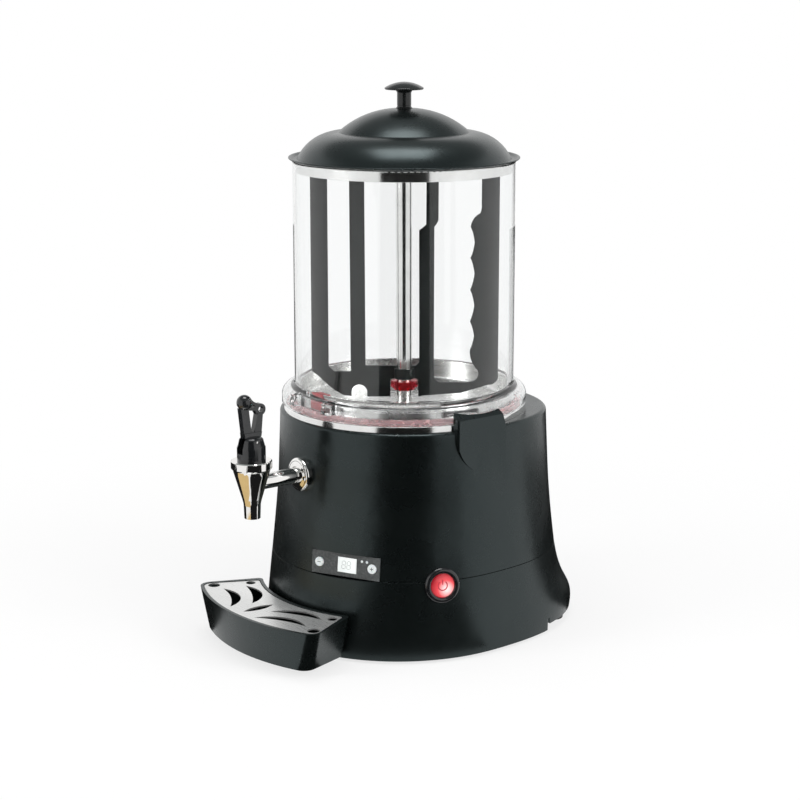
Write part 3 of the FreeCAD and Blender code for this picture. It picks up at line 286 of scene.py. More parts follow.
def drawn_steel():
    f = Finish("drawn_steel", (0.6, 0.6, 0.58), 0.32, 1.0)
    f.mottle(f.noise(25.0, 5.0), (0.3, (0.52, 0.52, 0.50)), (0.7, (0.66, 0.66, 0.64)))
    f.gloss(f.noise(6.0, 4.0, place=f.stretched((30.0, 30.0, 400.0))), 0.24, 0.42)
    f.relief(f.noise(200.0), 0.00003, 0.4)
    return f.material


def brushed_grate():
    """Sheet brushed along the grate's width, with fine unbroken scratches."""
    f = Finish("brushed_grate", (0.82, 0.82, 0.81), 0.34, 0.8)
    scratches = f.noise(5.0, 8.0, 0.7, place=f.stretched((6.0, 420.0, 420.0)))
    f.mottle(scratches, (0.25, (0.70, 0.70, 0.69)), (0.75, (0.90, 0.90, 0.89)))
    f.gloss(scratches, 0.22, 0.40)
    f.set("Anisotropic", 0.5)
    f.relief(scratches, 0.00003, 0.6)
    return f.material


def chrome_plate():
    """Bright plate with a warm cast, slow ripples from polishing and faint smears."""
    f = Finish("chrome_plate", (0.86, 0.85, 0.83), 0.05, 1.0)
    f.mottle(f.noise(55.0, 4.0), (0.3, (0.80, 0.79, 0.77)), (0.7, (0.90, 0.89, 0.87)))
    f.gloss(f.noise(140.0, 6.0), 0.03, 0.11, 0.4, 0.8)
    f.relief(f.noise(90.0, 2.0), 0.00005, 0.25)
    return f.material


def lever_black():
    """Glossy lever and bonnet, moulded with a polished tool."""
    f = Finish("lever_black", (0.008, 0.009, 0.010), 0.16)
    f.mottle(f.noise(110.0), (0.3, (0.006, 0.007, 0.008)), (0.7, (0.013, 0.014, 0.015)))
    f.gloss(f.noise(180.0, 5.0), 0.12, 0.24)
    f.set("Coat Weight", 0.35)
    f.set("Coat Roughness", 0.08)
    f.relief(f.noise(260.0), 0.00004, 0.35)
    return f.material


def wire_steel():
    f = Finish("wire_steel", (0.58, 0.58, 0.57), 0.25, 1.0)
    f.mottle(f.noise(200.0), (0.3, (0.5, 0.5, 0.49)), (0.7, (0.66, 0.66, 0.65)))
    f.gloss(f.noise(300.0), 0.18, 0.34)
    f.relief(f.noise(1200.0), 0.00001, 0.4)
    return f.material


def paddle_moulding():
    """Dark grey food-safe moulding with a soft sheen and faint flow lines."""
    f = Finish("paddle_moulding", (0.008, 0.012, 0.0115), 0.42)
    flow = f.noise(3.0, 5.0, place=f.stretched((14.0, 14.0, 5.0)), distortion=1.2)
    f.mottle(flow, (0.3, (0.006, 0.009, 0.0085)), (0.7, (0.011, 0.015, 0.0145)))
    f.gloss(f.noise(35.0, 5.0), 0.34, 0.5)
    f.relief(f.noise(700.0, 2.0), 0.00003, 0.15)
    return f.material


def natural_acetal():
    f = Finish("natural_acetal", (0.82, 0.82, 0.78), 0.4)
    f.mottle(f.noise(60.0), (0.3, (0.76, 0.76, 0.72)), (0.7, (0.86, 0.86, 0.83)))
    f.set("Subsurface Weight", 0.15)
    f.gloss(f.noise(120.0), 0.32, 0.48)
    f.relief(f.noise(900.0), 0.00002, 0.4)
    return f.material


def glass_filled_grey():
    f = Finish("glass_filled_grey", (0.18, 0.19, 0.2), 0.5)
    f.mottle(f.noise(350.0, 3.0), (0.3, (0.14, 0.15, 0.16)), (0.7, (0.22, 0.23, 0.24)))
    f.gloss(f.noise(80.0), 0.42, 0.58)
    f.relief(f.noise(1100.0), 0.00004, 0.6)
    return f.material


def zinc_can():
    f = Finish("zinc_can", (0.45, 0.46, 0.46), 0.38, 1.0)
    f.mottle(f.noise(50.0, 6.0, distortion=0.8), (0.3, (0.36, 0.37, 0.37)), (0.7, (0.53, 0.54, 0.54)))
    f.gloss(f.noise(90.0, 5.0), 0.28, 0.48)
    f.relief(f.noise(600.0), 0.00003, 0.4)
    return f.material


def plated_screw():
    f = Finish("plated_screw", (0.5, 0.5, 0.49), 0.3, 1.0)
    f.mottle(f.noise(300.0), (0.3, (0.42, 0.42, 0.41)), (0.7, (0.58, 0.58, 0.57)))
    f.gloss(f.noise(400.0), 0.22, 0.4)
    f.relief(f.noise(1500.0), 0.00001, 0.4)
    return f.material


def foot_rubber():
    f = Finish("foot_rubber", (0.02, 0.02, 0.02), 0.75)
    f.mottle(f.noise(120.0), (0.3, (0.014, 0.014, 0.014)), (0.7, (0.03, 0.03, 0.029)))
    f.gloss(f.noise(200.0), 0.65, 0.85)
    f.set("Sheen Weight", 0.2)
    f.relief(f.noise(900.0), 0.00008, 0.7)
    return f.material


def panel_grey():
    """Textured face of the control panel: a grey speckled film."""
    f = Finish("panel_grey", (0.07, 0.078, 0.08), 0.42)
    f.mottle(f.noise(420.0, 3.0), (0.25, (0.038, 0.043, 0.045)), (0.55, (0.070, 0.077, 0.079)),
             (0.8, (0.125, 0.133, 0.135)))
    f.gloss(f.noise(200.0), 0.34, 0.5)
    f.relief(f.noise(1400.0), 0.00004, 0.5)
    return f.material


def display_lens():
    """Backlit display: an even glow, a little uneven across its face."""
    f = Finish("display_lens", (0.72, 0.74, 0.73), 0.16)
    glow = f.noise(45.0, 2.0)
    f.mottle(glow, (0.3, (0.66, 0.69, 0.68)), (0.7, (0.78, 0.80, 0.79)))
    f.link(f.colours(glow, (0.3, (0.78, 0.82, 0.80)), (0.7, (0.92, 0.95, 0.93))),
           f.shader.inputs["Emission Color"])
    f.set("Emission Strength", 0.42)
    f.set("Coat Weight", 0.6)
    f.relief(f.noise(900.0), 0.00001, 0.2)
    return f.material


def display_segment():
    f = Finish("display_segment", (0.56, 0.59, 0.58), 0.3)
    f.mottle(f.noise(600.0), (0.3, (0.52, 0.55, 0.54)), (0.7, (0.60, 0.63, 0.62)))
    f.gloss(f.noise(300.0), 0.25, 0.4)
    return f.material


def lamp_lens():
    f = Finish("lamp_lens", (0.7, 0.72, 0.7), 0.25)
    f.mottle(f.noise(500.0), (0.3, (0.62, 0.65, 0.63)), (0.7, (0.78, 0.8, 0.78)))
    f.gloss(f.noise(300.0), 0.18, 0.32)
    f.set("Emission Color", (0.8, 0.85, 0.8, 1.0))
    f.set("Emission Strength", 0.15)
    f.set("Subsurface Weight", 0.2)
    return f.material


def circuit_lacquer():
    f = Finish("circuit_lacquer", (0.02, 0.13, 0.06), 0.35)
    f.mottle(f.noise(220.0, 2.0), (0.42, (0.012, 0.09, 0.04)), (0.5, (0.03, 0.17, 0.08)))
    f.gloss(f.noise(90.0), 0.25, 0.45)
    f.relief(f.noise(500.0), 0.00003, 0.5)
    return f.material


def key_white():
    f = Finish("key_white", (0.84, 0.85, 0.84), 0.28)
    f.mottle(f.noise(150.0), (0.3, (0.79, 0.80, 0.79)), (0.7, (0.87, 0.88, 0.87)))
    f.set("Subsurface Weight", 0.1)
    f.gloss(f.noise(240.0), 0.22, 0.36)
    f.relief(f.noise(1200.0), 0.00001, 0.4)
    return f.material


def switch_black():
    f = Finish("switch_black", (0.008, 0.008, 0.009), 0.14)
    f.mottle(f.noise(180.0), (0.3, (0.006, 0.006, 0.007)), (0.7, (0.012, 0.012, 0.013)))
    f.gloss(f.noise(260.0), 0.10, 0.2)
    f.set("Coat Weight", 0.4)
    f.relief(f.noise(700.0), 0.00001, 0.4)
    return f.material


def lit_red_cap():
    """Translucent red cap: the lamp behind it shows most low down on its far side."""
    f = Finish("lit_red_cap", (0.62, 0.015, 0.03), 0.2)
    towards_lamp = wall_place(SWITCH_AZIMUTH, SWITCH_DISTANCE, SWITCH_HEIGHT_Z, SWITCH_LEAN) @ \
        Vector((0.004, 0.0, -0.004))
    distance = f.add("ShaderNodeVectorMath", operation="DISTANCE")
    distance.inputs[1].default_value = towards_lamp
    f.link(f.place, distance.inputs[0])
    near = f.spread(distance.outputs["Value"], 0.0, 1.0, 0.0, 0.017)
    f.mottle(near, (0.15, (0.95, 0.66, 0.65)), (0.55, (0.72, 0.06, 0.075)), (1.0, (0.30, 0.004, 0.012)))
    f.link(f.colours(near, (0.15, (1.0, 0.76, 0.74)), (0.55, (0.72, 0.08, 0.09)),
                     (1.0, (0.24, 0.003, 0.008))), f.shader.inputs["Emission Color"])
    f.set("Emission Strength", 0.35)
    f.set("Coat Weight", 0.5)
    f.relief(f.noise(600.0), 0.00001, 0.3)
    return f.material


def printed_mark(name, colour, glow=0.0):
    """Ink of a printed sign, a touch uneven at its edges."""
    f = Finish(name, colour, 0.4)
    dim = [c * 0.86 for c in colour]
    f.mottle(f.noise(900.0, 3.0), (0.3, dim), (0.7, colour))
    f.gloss(f.noise(500.0), 0.3, 0.5)
    f.set("Emission Color", (*colour, 1.0))
    f.set("Emission Strength", glow)
    return f.material


# Placing

def wall_place(azimuth, distance, height, lean):
    """Matrix of a flat fitting's own frame: its X to the right, its Y into the wall, its Z up."""
    return (Matrix.Translation(AXIS) @ Matrix.Rotation(math.radians(azimuth), 4, "Z")
            @ Matrix.Translation(Vector((0.0, -distance, height)) * MM)
            @ Matrix.Rotation(math.radians(-lean), 4, "X"))


PANEL = wall_place(PANEL_AZIMUTH, PANEL_DISTANCE, PANEL_HEIGHT_Z, PANEL_LEAN)
SWITCH = wall_place(SWITCH_AZIMUTH, SWITCH_DISTANCE, SWITCH_HEIGHT_Z, SWITCH_LEAN)


# Mesh helpers

def finished_object(name, mesh, material, body, smooth=SMOOTH_UNDER):
    mesh.materials.clear()
    mesh.materials.append(material)
    for face in mesh.polygons:
        face.material_index = 0
    mesh.shade_smooth()
    mesh.set_sharp_from_angle(angle=smooth)
    piece = bpy.data.objects.new(name, mesh)
    scene.collection.objects.link(piece)
    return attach(piece, body)


def from_bmesh(work, name, material, body, place=None, smooth=SMOOTH_UNDER):
    """Makes a piece out of mesh work in millimetres, moved to its place."""
    bmesh.ops.scale(work, vec=Vector((MM, MM, MM)), verts=work.verts)
    if place is not None:
        work.transform(place)
    bmesh.ops.recalc_face_normals(work, faces=work.faces)
    mesh = bpy.data.meshes.new(name)
    work.to_mesh(mesh)
    work.free()
    return finished_object(name, mesh, material, body, smooth)


def welded_mesh(node, name, flats):
    """The node's surface with its loose triangles joined, and its flat faces made whole."""
    work = bmesh.new()
    work.from_mesh(frame["nodes"][node].data)
    bmesh.ops.remove_doubles(work, verts=work.verts, dist=WELD)
    bmesh.ops.dissolve_degenerate(work, dist=WELD, edges=work.edges)
    if flats:
        bmesh.ops.dissolve_limit(work, angle_limit=math.radians(0.3), verts=work.verts,
                                 edges=work.edges)
    mesh = bpy.data.meshes.new(name)
    plain = bmesh.new()
    copies = {vertex: plain.verts.new(vertex.co) for vertex in work.verts}
    for face in work.faces:
        plain.faces.new([copies[vertex] for vertex in face.verts])
    plain.to_mesh(mesh)
    plain.free()
    work.free()
    return mesh


def dressed(node, name, material, edge=0.0, smooth=SMOOTH_UNDER):
    """A finer copy of a part, with its corners eased by an edge width in mm, shown in its place."""
    piece = finished_object(name, welded_mesh(node, name, edge > 0), material,
                            body_of_node[node], smooth)
    if edge:
        bevel = piece.modifiers.new("eased_corners", "BEVEL")
        bevel.width = edge * MM
        bevel.segments = 2
        bevel.limit_method = "ANGLE"
        bevel.angle_limit = smooth
        bevel.harden_normals = True
    even_normals(piece)
    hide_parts(node)
    return piece


def even_normals(piece):
    """Lets the large faces set the normals, so that long plain walls reflect and bend light true."""
    weights = piece.modifiers.new("even_normals", "WEIGHTED_NORMAL")
    weights.mode = "FACE_AREA"
    weights.weight = 90
    weights.keep_sharp = True
    apply_modifiers(piece)


def apply_modifiers(piece):
    graph = bpy.context.evaluated_depsgraph_get()
    plain = bpy.data.meshes.new_from_object(piece.evaluated_get(graph))
    piece.modifiers.clear()
    piece.data = plain


def carried(node, material):
    """A part that keeps its own mesh and takes a finish."""
    frame["nodes"][node].material_slots[0].material = material


# Outlines for turned pieces

def arc_points(start, middle, end, steps=10):
    """Points after start, up to end, on the circle through the three."""
    (ax, ay), (bx, by), (cx, cy) = start, middle, end
    d = 2 * (ax * (by - cy) + bx * (cy - ay) + cx * (ay - by))
    ux = ((ax ** 2 + ay ** 2) * (by - cy) + (bx ** 2 + by ** 2) * (cy - ay)
          + (cx ** 2 + cy ** 2) * (ay - by)) / d
    uy = ((ax ** 2 + ay ** 2) * (cx - bx) + (bx ** 2 + by ** 2) * (ax - cx)
          + (cx ** 2 + cy ** 2) * (bx - ax)) / d
    radius = math.hypot(ax - ux, ay - uy)
    a0, am, a1 = [math.atan2(y - uy, x - ux) for x, y in (start, middle, end)]
    turn = (a1 - a0) % (2 * math.pi)
    if (am - a0) % (2 * math.pi) > turn:
        turn -= 2 * math.pi
    return [(ux + radius * math.cos(a0 + turn * k / steps),
             uy + radius * math.sin(a0 + turn * k / steps)) for k in range(1, steps + 1)]


def eased(corner, before, after, radius, steps=4):
    """Points that round off one corner of an outline."""
    c, b, a = Vector(corner), Vector(before), Vector(after)
    to_b = (b - c).normalized()
    to_a = (a - c).normalized()
    reach = radius / math.tan(to_b.angle(to_a) / 2)
    reach = min(reach, (b - c).length * 0.49, (a - c).length * 0.49)
    start = c + to_b * reach
    end = c + to_a * reach
    points = []
    for k in range(steps + 1):
        t = k / steps
        points.append(tuple(start * (1 - t) ** 2 + c * 2 * t * (1 - t) + end * t * t))
    return points


def outline(entries):
    """(r, z) corners, (r, z, radius) eased corners, and (r, z, r, z) arcs by way of a point."""
    points = []
    count = len(entries)
    for i, entry in enumerate(entries):
        if len(entry) == 4:
            points += arc_points(points[-1], entry[:2], entry[2:])
        elif len(entry) == 3:
            after = entries[(i + 1) % count][:2]
            before = points[-1] if points else entries[-1][-2:]
            points += eased(entry[:2], before, after, entry[2])
        else:
            points.append(entry)
    return points + [points[0]]


# Geometry node trees

class Wiring:
    """A geometry node tree with named inputs, and short calls to add and join its nodes."""

    def __init__(self, name, inputs):
        self.tree = bpy.data.node_groups.new(name, "GeometryNodeTree")
        face = self.tree.interface
        face.new_socket("Geometry", in_out="INPUT", socket_type="NodeSocketGeometry")
        for label, kind in inputs:
            face.new_socket(label, in_out="INPUT", socket_type="NodeSocket" + kind)
        face.new_socket("Geometry", in_out="OUTPUT", socket_type="NodeSocketGeometry")
        self.given = self.add("NodeGroupInput").outputs
        self.result = self.add("NodeGroupOutput").inputs["Geometry"]

    def add(self, kind, **settings):
        node = self.tree.nodes.new(kind)
        for name, value in settings.items():
            setattr(node, name, value)
        return node

    def put(self, node, **sockets):
        """Joins an output to each socket, or sets its number."""
        for name, value in sockets.items():
            socket = node.inputs[int(name[1:])] if name[1:].isdigit() else node.inputs[
                name.replace("_", " ")]
            if isinstance(value, bpy.types.NodeSocket):
                self.tree.links.new(value, socket)
            else:
                socket.default_value = value
        return node

    def sum(self, operation, a, b):
        return self.put(self.add("ShaderNodeMath", operation=operation), _0=a, _1=b).outputs[0]

    def end(self, geometry):
        realize = self.put(self.add("GeometryNodeRealizeInstances"), Geometry=geometry)
        material = self.put(self.add("GeometryNodeSetMaterial"), Geometry=realize.outputs[0],
                            Material=self.given["Finish"])
        self.tree.links.new(material.outputs[0], self.result)
        return self.tree


def turning_tree():
    """Turns the outline held in the object's own mesh about an upright axis."""
    w = Wiring("turned_about_axis", [("Segments", "Int"), ("Axis", "Vector"), ("Finish", "Material")])
    count = w.put(w.add("GeometryNodeAttributeDomainSize", component="MESH"),
                  Geometry=w.given["Geometry"]).outputs["Point Count"]
    columns = w.sum("ADD", w.given["Segments"], 1.0)
    grid = w.put(w.add("GeometryNodeMeshGrid"), Size_X=1.0, Size_Y=1.0, Vertices_X=columns,
                 Vertices_Y=count)
    index = w.add("GeometryNodeInputIndex").outputs[0]
    along = w.sum("FLOORED_MODULO", index, count)
    round_step = w.sum("FLOOR", w.sum("DIVIDE", w.sum("ADD", index, 0.5), count), 0.0)
    angle = w.sum("DIVIDE", w.sum("MULTIPLY", round_step, 2 * math.pi), w.given["Segments"])
    sample = w.add("GeometryNodeSampleIndex", data_type="FLOAT_VECTOR", domain="POINT")
    position = w.add("GeometryNodeInputPosition").outputs[0]
    w.put(sample, Geometry=w.given["Geometry"], Value=position, Index=along)
    turned = w.put(w.add("ShaderNodeVectorRotate", rotation_type="Z_AXIS"),
                   Vector=sample.outputs[0], Angle=angle)
    moved = w.put(w.add("ShaderNodeVectorMath", operation="ADD"), _0=turned.outputs[0],
                  _1=w.given["Axis"])
    placed = w.put(w.add("GeometryNodeSetPosition"), Geometry=grid.outputs["Mesh"],
                   Position=moved.outputs[0])
    closed = w.put(w.add("GeometryNodeMergeByDistance"), Geometry=placed.outputs[0],
                   Distance=WELD)
    return w.end(closed.outputs[0])


def repeating_tree():
    """Puts a copy of one shape on each point of the object's own mesh, turned by its attribute."""
    w = Wiring("shape_on_points", [("Shape", "Object"), ("Size", "Float"), ("Finish", "Material")])
    shape = w.put(w.add("GeometryNodeObjectInfo"), Object=w.given["Shape"])
    turn = w.add("GeometryNodeInputNamedAttribute", data_type="FLOAT_VECTOR")
    turn.inputs["Name"].default_value = "turn"
    spread = w.put(w.add("GeometryNodeInstanceOnPoints"), Points=w.given["Geometry"],
                   Instance=shape.outputs["Geometry"], Rotation=turn.outputs["Attribute"],
                   Scale=w.given["Size"])
    return w.end(spread.outputs[0])


TURNING = turning_tree()
REPEATING = repeating_tree()


def grown(mesh, name, tree, settings):
    """The plain mesh that a tree makes from a mesh and its named inputs."""
    seed = bpy.data.objects.new(name + "_seed", mesh)
    scene.collection.objects.link(seed)
    modifier = seed.modifiers.new("tree", "NODES")
    modifier.node_group = tree
    sockets = {item.name: item.identifier for item in tree.interface.items_tree
               if item.in_out == "INPUT"}
    for label, value in settings.items():
        modifier[sockets[label]] = value
    seed.update_tag()
    graph = bpy.context.evaluated_depsgraph_get()
    result = bpy.data.meshes.new_from_object(seed.evaluated_get(graph))
    bpy.data.objects.remove(seed)
    work = bmesh.new()
    work.from_mesh(result)
    bmesh.ops.dissolve_degenerate(work, dist=WELD, edges=work.edges)
    bmesh.ops.recalc_face_normals(work, faces=work.faces)
    work.to_mesh(result)
    work.free()
    result.name = name
    return result


def turned(node, name, entries, material, axis=AXIS, segments=192, smooth=SMOOTH_UNDER):
    """A turned piece from its outline in mm, in place of a part."""
    points = [(r * MM, 0.0, z * MM) for r, z in outline(entries)]
    seed = bpy.data.meshes.new(name + "_outline")
    seed.from_pydata(points, [(i, i + 1) for i in range(len(points) - 1)], [])
    mesh = grown(seed, name, TURNING, {"Segments": segments, "Axis": axis, "Finish": material})
    piece = finished_object(name, mesh, material, body_of_node[node], smooth)
    even_normals(piece)
    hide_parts(node)
    return piece


def repeated(name, shape, places, material, body, size=1.0, smooth=SMOOTH_UNDER):
    """Copies of one shape at (point, turn) places, as one piece."""
    points = bpy.data.meshes.new(name + "_points")
    points.from_pydata([place for place, turn in places], [], [])
    turns = points.attributes.new("turn", "FLOAT_VECTOR", "POINT")
    turns.data.foreach_set("vector", [angle for place, turn in places for angle in turn])
    mesh = grown(points, name, REPEATING, {"Shape": shape, "Size": size, "Finish": material})
    return finished_object(name, mesh, material, body, smooth)


def pattern_shape(work, name):
    """A shape that trees copy; it is hidden once they have."""
    bmesh.ops.scale(work, vec=Vector((MM, MM, MM)), verts=work.verts)
    bmesh.ops.recalc_face_normals(work, faces=work.faces)
    mesh = bpy.data.meshes.new(name)
    work.to_mesh(mesh)
    work.free()
    shape = bpy.data.objects.new(name, mesh)
    scene.collection.objects.link(shape)
    return shape


def prism(work, corners, low, high):
    """Adds an upright block with that plan."""
    base = [work.verts.new((x, y, low)) for x, y in corners]
    lid = [work.verts.new((x, y, high)) for x, y in corners]
    work.faces.new(base[::-1])
    work.faces.new(lid)
    count = len(corners)
    for i in range(count):
        j = (i + 1) % count
        work.faces.new([base[i], base[j], lid[j], lid[i]])


def lathe(work, entries, steps=24):
    """Adds a small turned shape, from an outline that starts and ends on its axis."""
    points = [p for p in outline(entries)[:-1]]
    rows = []
    for r, z in points:
        if r < 0.0001:
            rows.append([work.verts.new((0.0, 0.0, z))])
        else:
            rows.append([work.verts.new((r * math.cos(2 * math.pi * k / steps),
                                         r * math.sin(2 * math.pi * k / steps), z))
                         for k in range(steps)])
    for lower, upper in zip(rows, rows[1:]):
        for k in range(steps):
            n = (k + 1) % steps
            corners = [lower[k % len(lower)], lower[n % len(lower)],
                       upper[n % len(upper)], upper[k % len(upper)]]
            unique = list(dict.fromkeys(corners))
            if len(unique) > 2:
                work.faces.new(unique)


# Case

def make_case(black, plate, rubber, screw):
    dressed("upper_housing", "case_upper", black, 0.5)
    dressed("lower_housing", "case_lower", black, 0.5)
    carried("bottom_plate", plate)
    make_feet(rubber)
    make_base_screws(screw)


def make_feet(rubber):
    """Four rubber feet, each with a ribbed side and a dished sole."""
    work = bmesh.new()
    ribs = []
    for k in range(4):
        low = 2.6 + 2.8 * k
        ribs += [(11.5, low), (12.0, low + 0.7), (12.0, low + 1.5), (11.5, low + 2.2)]
    lathe(work, [(0, 1.2), (7.0, 1.0), (8.4, 0.0, 9.6, 0.0), (11.0, 0.2, 11.5, 1.4)] + ribs
          + [(10.4, 14.5), (3.1, 14.5), (3.1, 17.0), (4.2, 17.2), (2.6, 20.5), (0, 20.5)], 48)
    shape = pattern_shape(work, "foot_pattern")
    for node in ("foot_front_left", "foot_front_right", "foot_rear_left", "foot_rear_right"):
        low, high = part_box(node)
        middle = (low + high) / 2
        piece = repeated(node + "_ribbed", shape, [((middle.x, middle.y, 0.0), (0, 0, 0))], rubber,
                         "base")
        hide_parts(node)
    bpy.data.objects.remove(shape)


def make_base_screws(screw):
    """Pan-head screws with cross recesses, up through the bottom plate."""
    work = bmesh.new()
    arm, tip, deep, rim = 0.55, 2.3, 13.6, 4.0
    lathe(work, [(0, deep), (tip, deep), (tip, 12.3), (3.2, 12.4, rim, 13.4), (rim, 14.4),
                 (1.8, 14.5), (1.8, 19.2), (0.9, 20.0), (0, 20.0)], 24)
    for turn in range(2):
        corners = [(-arm, -tip), (arm, -tip), (arm, tip), (-arm, tip)]
        if turn:
            corners = [(y, -x) for x, y in corners]
        prism(work, corners, deep - 0.9, deep + 0.1)
    shape = pattern_shape(work, "screw_pattern")
    places = []
    for x in (-0.088, 0.088):
        for y in (-0.104, 0.118):
            places.append(((x, y + AXIS.y, 0.0), (0.0, 0.0, x * 7.0 + y)))
    piece = repeated("base_screws", shape, places, screw, "base")
    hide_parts("housing_screws")
    bpy.data.objects.remove(shape)


# Bowl, lid and what stands in the bowl

def make_bowl(clear, steel, pan, silicone, pale, sheer):
    turned("trim_ring", "trim_ring_polished", [
        (124.3, 238.0), (128.5, 238.0, 0.3), (128.5, 245.0, 1.6), (124.3, 245.0, 0.6)],
        steel, segments=256)
    dressed("bowl", "clear_bowl_wall", clear)
    dressed("bowl_gasket", "pink_gasket", pale)
    dressed("heating_pan", "spun_heating_pan", pan)
    dressed("outlet_plug", "red_outlet_plug", silicone, 0.3)
    turned("column_seal", "red_column_seal", [
        (8.55, 256.0), (11.0, 256.0, 0.4), (12.6, 258.6, 0.8), (14.4, 259.4, 0.5),
        (14.4, 264.6, 0.5), (13.6, 265.6, 0.4), (8.55, 265.6)], sheer, segments=96)
    dressed("mixer_column", "polished_column", steel)


def make_lid(black, knob_black, steel, screw):
    turned("lid", "domed_lid", [
        (109.6, 489.5), (111.2, 489.5), (111.2, 499.9, 0.5), (116.8, 499.9, 0.6), (119.9, 501.9),
        (120.5, 502.6, 119.8, 503.5), (118.1, 503.2, 0.8), (115.9, 501.4, 0.8),
        (111.8, 501.2, 1.2), (99.5, 517.5, 68.3, 528.9), (67.5, 529.5, 1.0),
        (42.0, 545.5, 9.0, 553.0), (2.6, 553.0), (2.6, 550.4), (9.0, 550.4),
        (40.5, 543.0, 66.9, 526.8), (97.5, 515.0, 108.6, 498.6), (109.6, 498.0)],
        black, segments=256)
    turned("lid_band", "steel_lid_band", [
        (112.8, 489.0, 0.3), (112.8, 499.0, 0.3), (111.25, 499.0), (111.25, 489.0)],
        steel, segments=256)
    turned("lid_knob", "lid_knob_turned", [
        (2.6, 553.0), (9.0, 553.0, 0.3), (7.7, 554.2, 7.4, 556.4), (7.4, 569.0, 0.8),
        (8.6, 570.9, 10.8, 571.4), (18.6, 572.2, 0.6), (20.2, 573.0, 19.6, 574.4),
        (10.0, 578.6, 0.0, 580.0), (0.0, 570.0), (2.6, 570.0)], knob_black, segments=96)
    carried("lid_knob_screw", screw)


def make_mixer(moulding, steel):
    dressed("paddle", "paddle_moulded", moulding, 0.7, math.radians(40.0))
    dressed("drive_cap", "drive_cap_moulded", moulding, 0.5)
    carried("drive_shaft", steel)


# Tap

def make_tap(chrome, black, steel, seal):
    dressed("tap_body", "chrome_tap_body", chrome)
    dressed("tap_spout", "chrome_tap_spout", chrome)
    dressed("tap_flange", "chrome_tap_flange", chrome)
    dressed("tap_nut", "chrome_tap_nut", chrome, 0.4)
    dressed("tap_bonnet", "tap_bonnet_gloss", black, 0.3)
    dressed("tap_handle", "tap_lever_gloss", black, 0.6)
    dressed("tap_pin", "tap_pin_chrome", chrome, 0.25)
    carried("tap_plunger", steel)
    carried("tap_spring", steel)
    carried("tap_seat_cup", seal)


# Drip tray

def make_tray(black, brushed):
    dressed("drip_tray", "drip_tray_satin", black, 0.45)
    dressed("drip_grate", "drip_grate_brushed", brushed, 0.2)


# Controls

def make_controls(grey, lens, lamps, board, white, black, red, ghost, ink, glow):
    dressed("control_faceplate", "panel_face", grey, 0.35)
    dressed("display_window", "display_lens_piece", lens, 0.3)
    carried("status_lights", lamps)
    carried("control_board", board)
    dressed("minus_button", "minus_key_cap", white)
    dressed("plus_button", "plus_key_cap", white)
    make_display_segments(ghost)
    make_key_signs(ink)
    make_panel_ticks(ink)
    dressed("power_switch_bezel", "switch_bezel_gloss", black)
    carried("power_switch_block", black)
    dressed("power_switch_cap", "switch_cap_lit", red)
    make_power_sign(glow)


def make_display_segments(ghost):
    """Unlit bars of a two-figure display, behind its lens."""
    work = bmesh.new()
    half, thick = 1.7, 0.32
    prism(work, [(-half, 0), (-half + thick, -thick), (half - thick, -thick), (half, 0),
                 (half - thick, thick), (-half + thick, thick)], 0.0, 0.06)
    shape = pattern_shape(work, "segment_pattern")
    facing = PANEL.to_3x3() @ Matrix.Rotation(math.radians(90.0), 3, "X")
    upright = facing @ Matrix.Rotation(math.radians(90.0), 3, "Z")
    places = []
    for middle in (-2.4, 3.4):
        bars = [(0, 4.0, facing), (0, 0, facing), (0, -4.0, facing)]
        bars += [(side * 2.0, up * 2.0, upright) for side in (-1, 1) for up in (-1, 1)]
        for x, z, turn in bars:
            spot = PANEL @ (Vector((middle + x + z * 0.08, 0.52, z)) * MM)
            places.append((spot, turn.to_euler()))
    repeated("display_bars", shape, places, ghost, "base")
    bpy.data.objects.remove(shape)


def sign_bars(work, bars, front):
    """Flat raised bars on a fitting, each (x, z, length, height), standing proud of a face."""
    for x, z, length, height in bars:
        corners = [(x - length / 2, z - height / 2), (x + length / 2, z - height / 2),
                   (x + length / 2, z + height / 2), (x - length / 2, z + height / 2)]
        back = [work.verts.new((a, front + 0.08, b)) for a, b in corners]
        face = [work.verts.new((a, front - 0.05, b)) for a, b in corners]
        work.faces.new(back)
        work.faces.new(face[::-1])
        for i in range(4):
            j = (i + 1) % 4
            work.faces.new([back[i], face[i], face[j], back[j]])


def make_key_signs(ink):
    """A minus and a plus on the two keys."""
    minus = bmesh.new()
    sign_bars(minus, [(-30.0, 0.0, 3.6, 0.6)], -1.5)
    from_bmesh(minus, "minus_sign", ink, "minus_key", PANEL)
    plus = bmesh.new()
    sign_bars(plus, [(30.5, 0.0, 3.6, 0.6), (30.5, 1.05, 0.6, 1.5), (30.5, -1.05, 0.6, 1.5)], -1.5)
    from_bmesh(plus, "plus_sign", ink, "plus_key", PANEL)


def make_panel_ticks(ink):
    """Short dashes under the two lamps and beside the keys."""
    work = bmesh.new()
    dashes = [(18.5, 3.4, 2.2, 0.4), (24.2, 3.4, 2.2, 0.4), (-30.0, 7.8, 3.0, 0.4),
              (30.5, -7.8, 3.0, 0.4), (-20.6, 0.0, 0.4, 5.0)]
    sign_bars(work, dashes, 0.0)
    from_bmesh(work, "panel_dashes", ink, "base", PANEL)


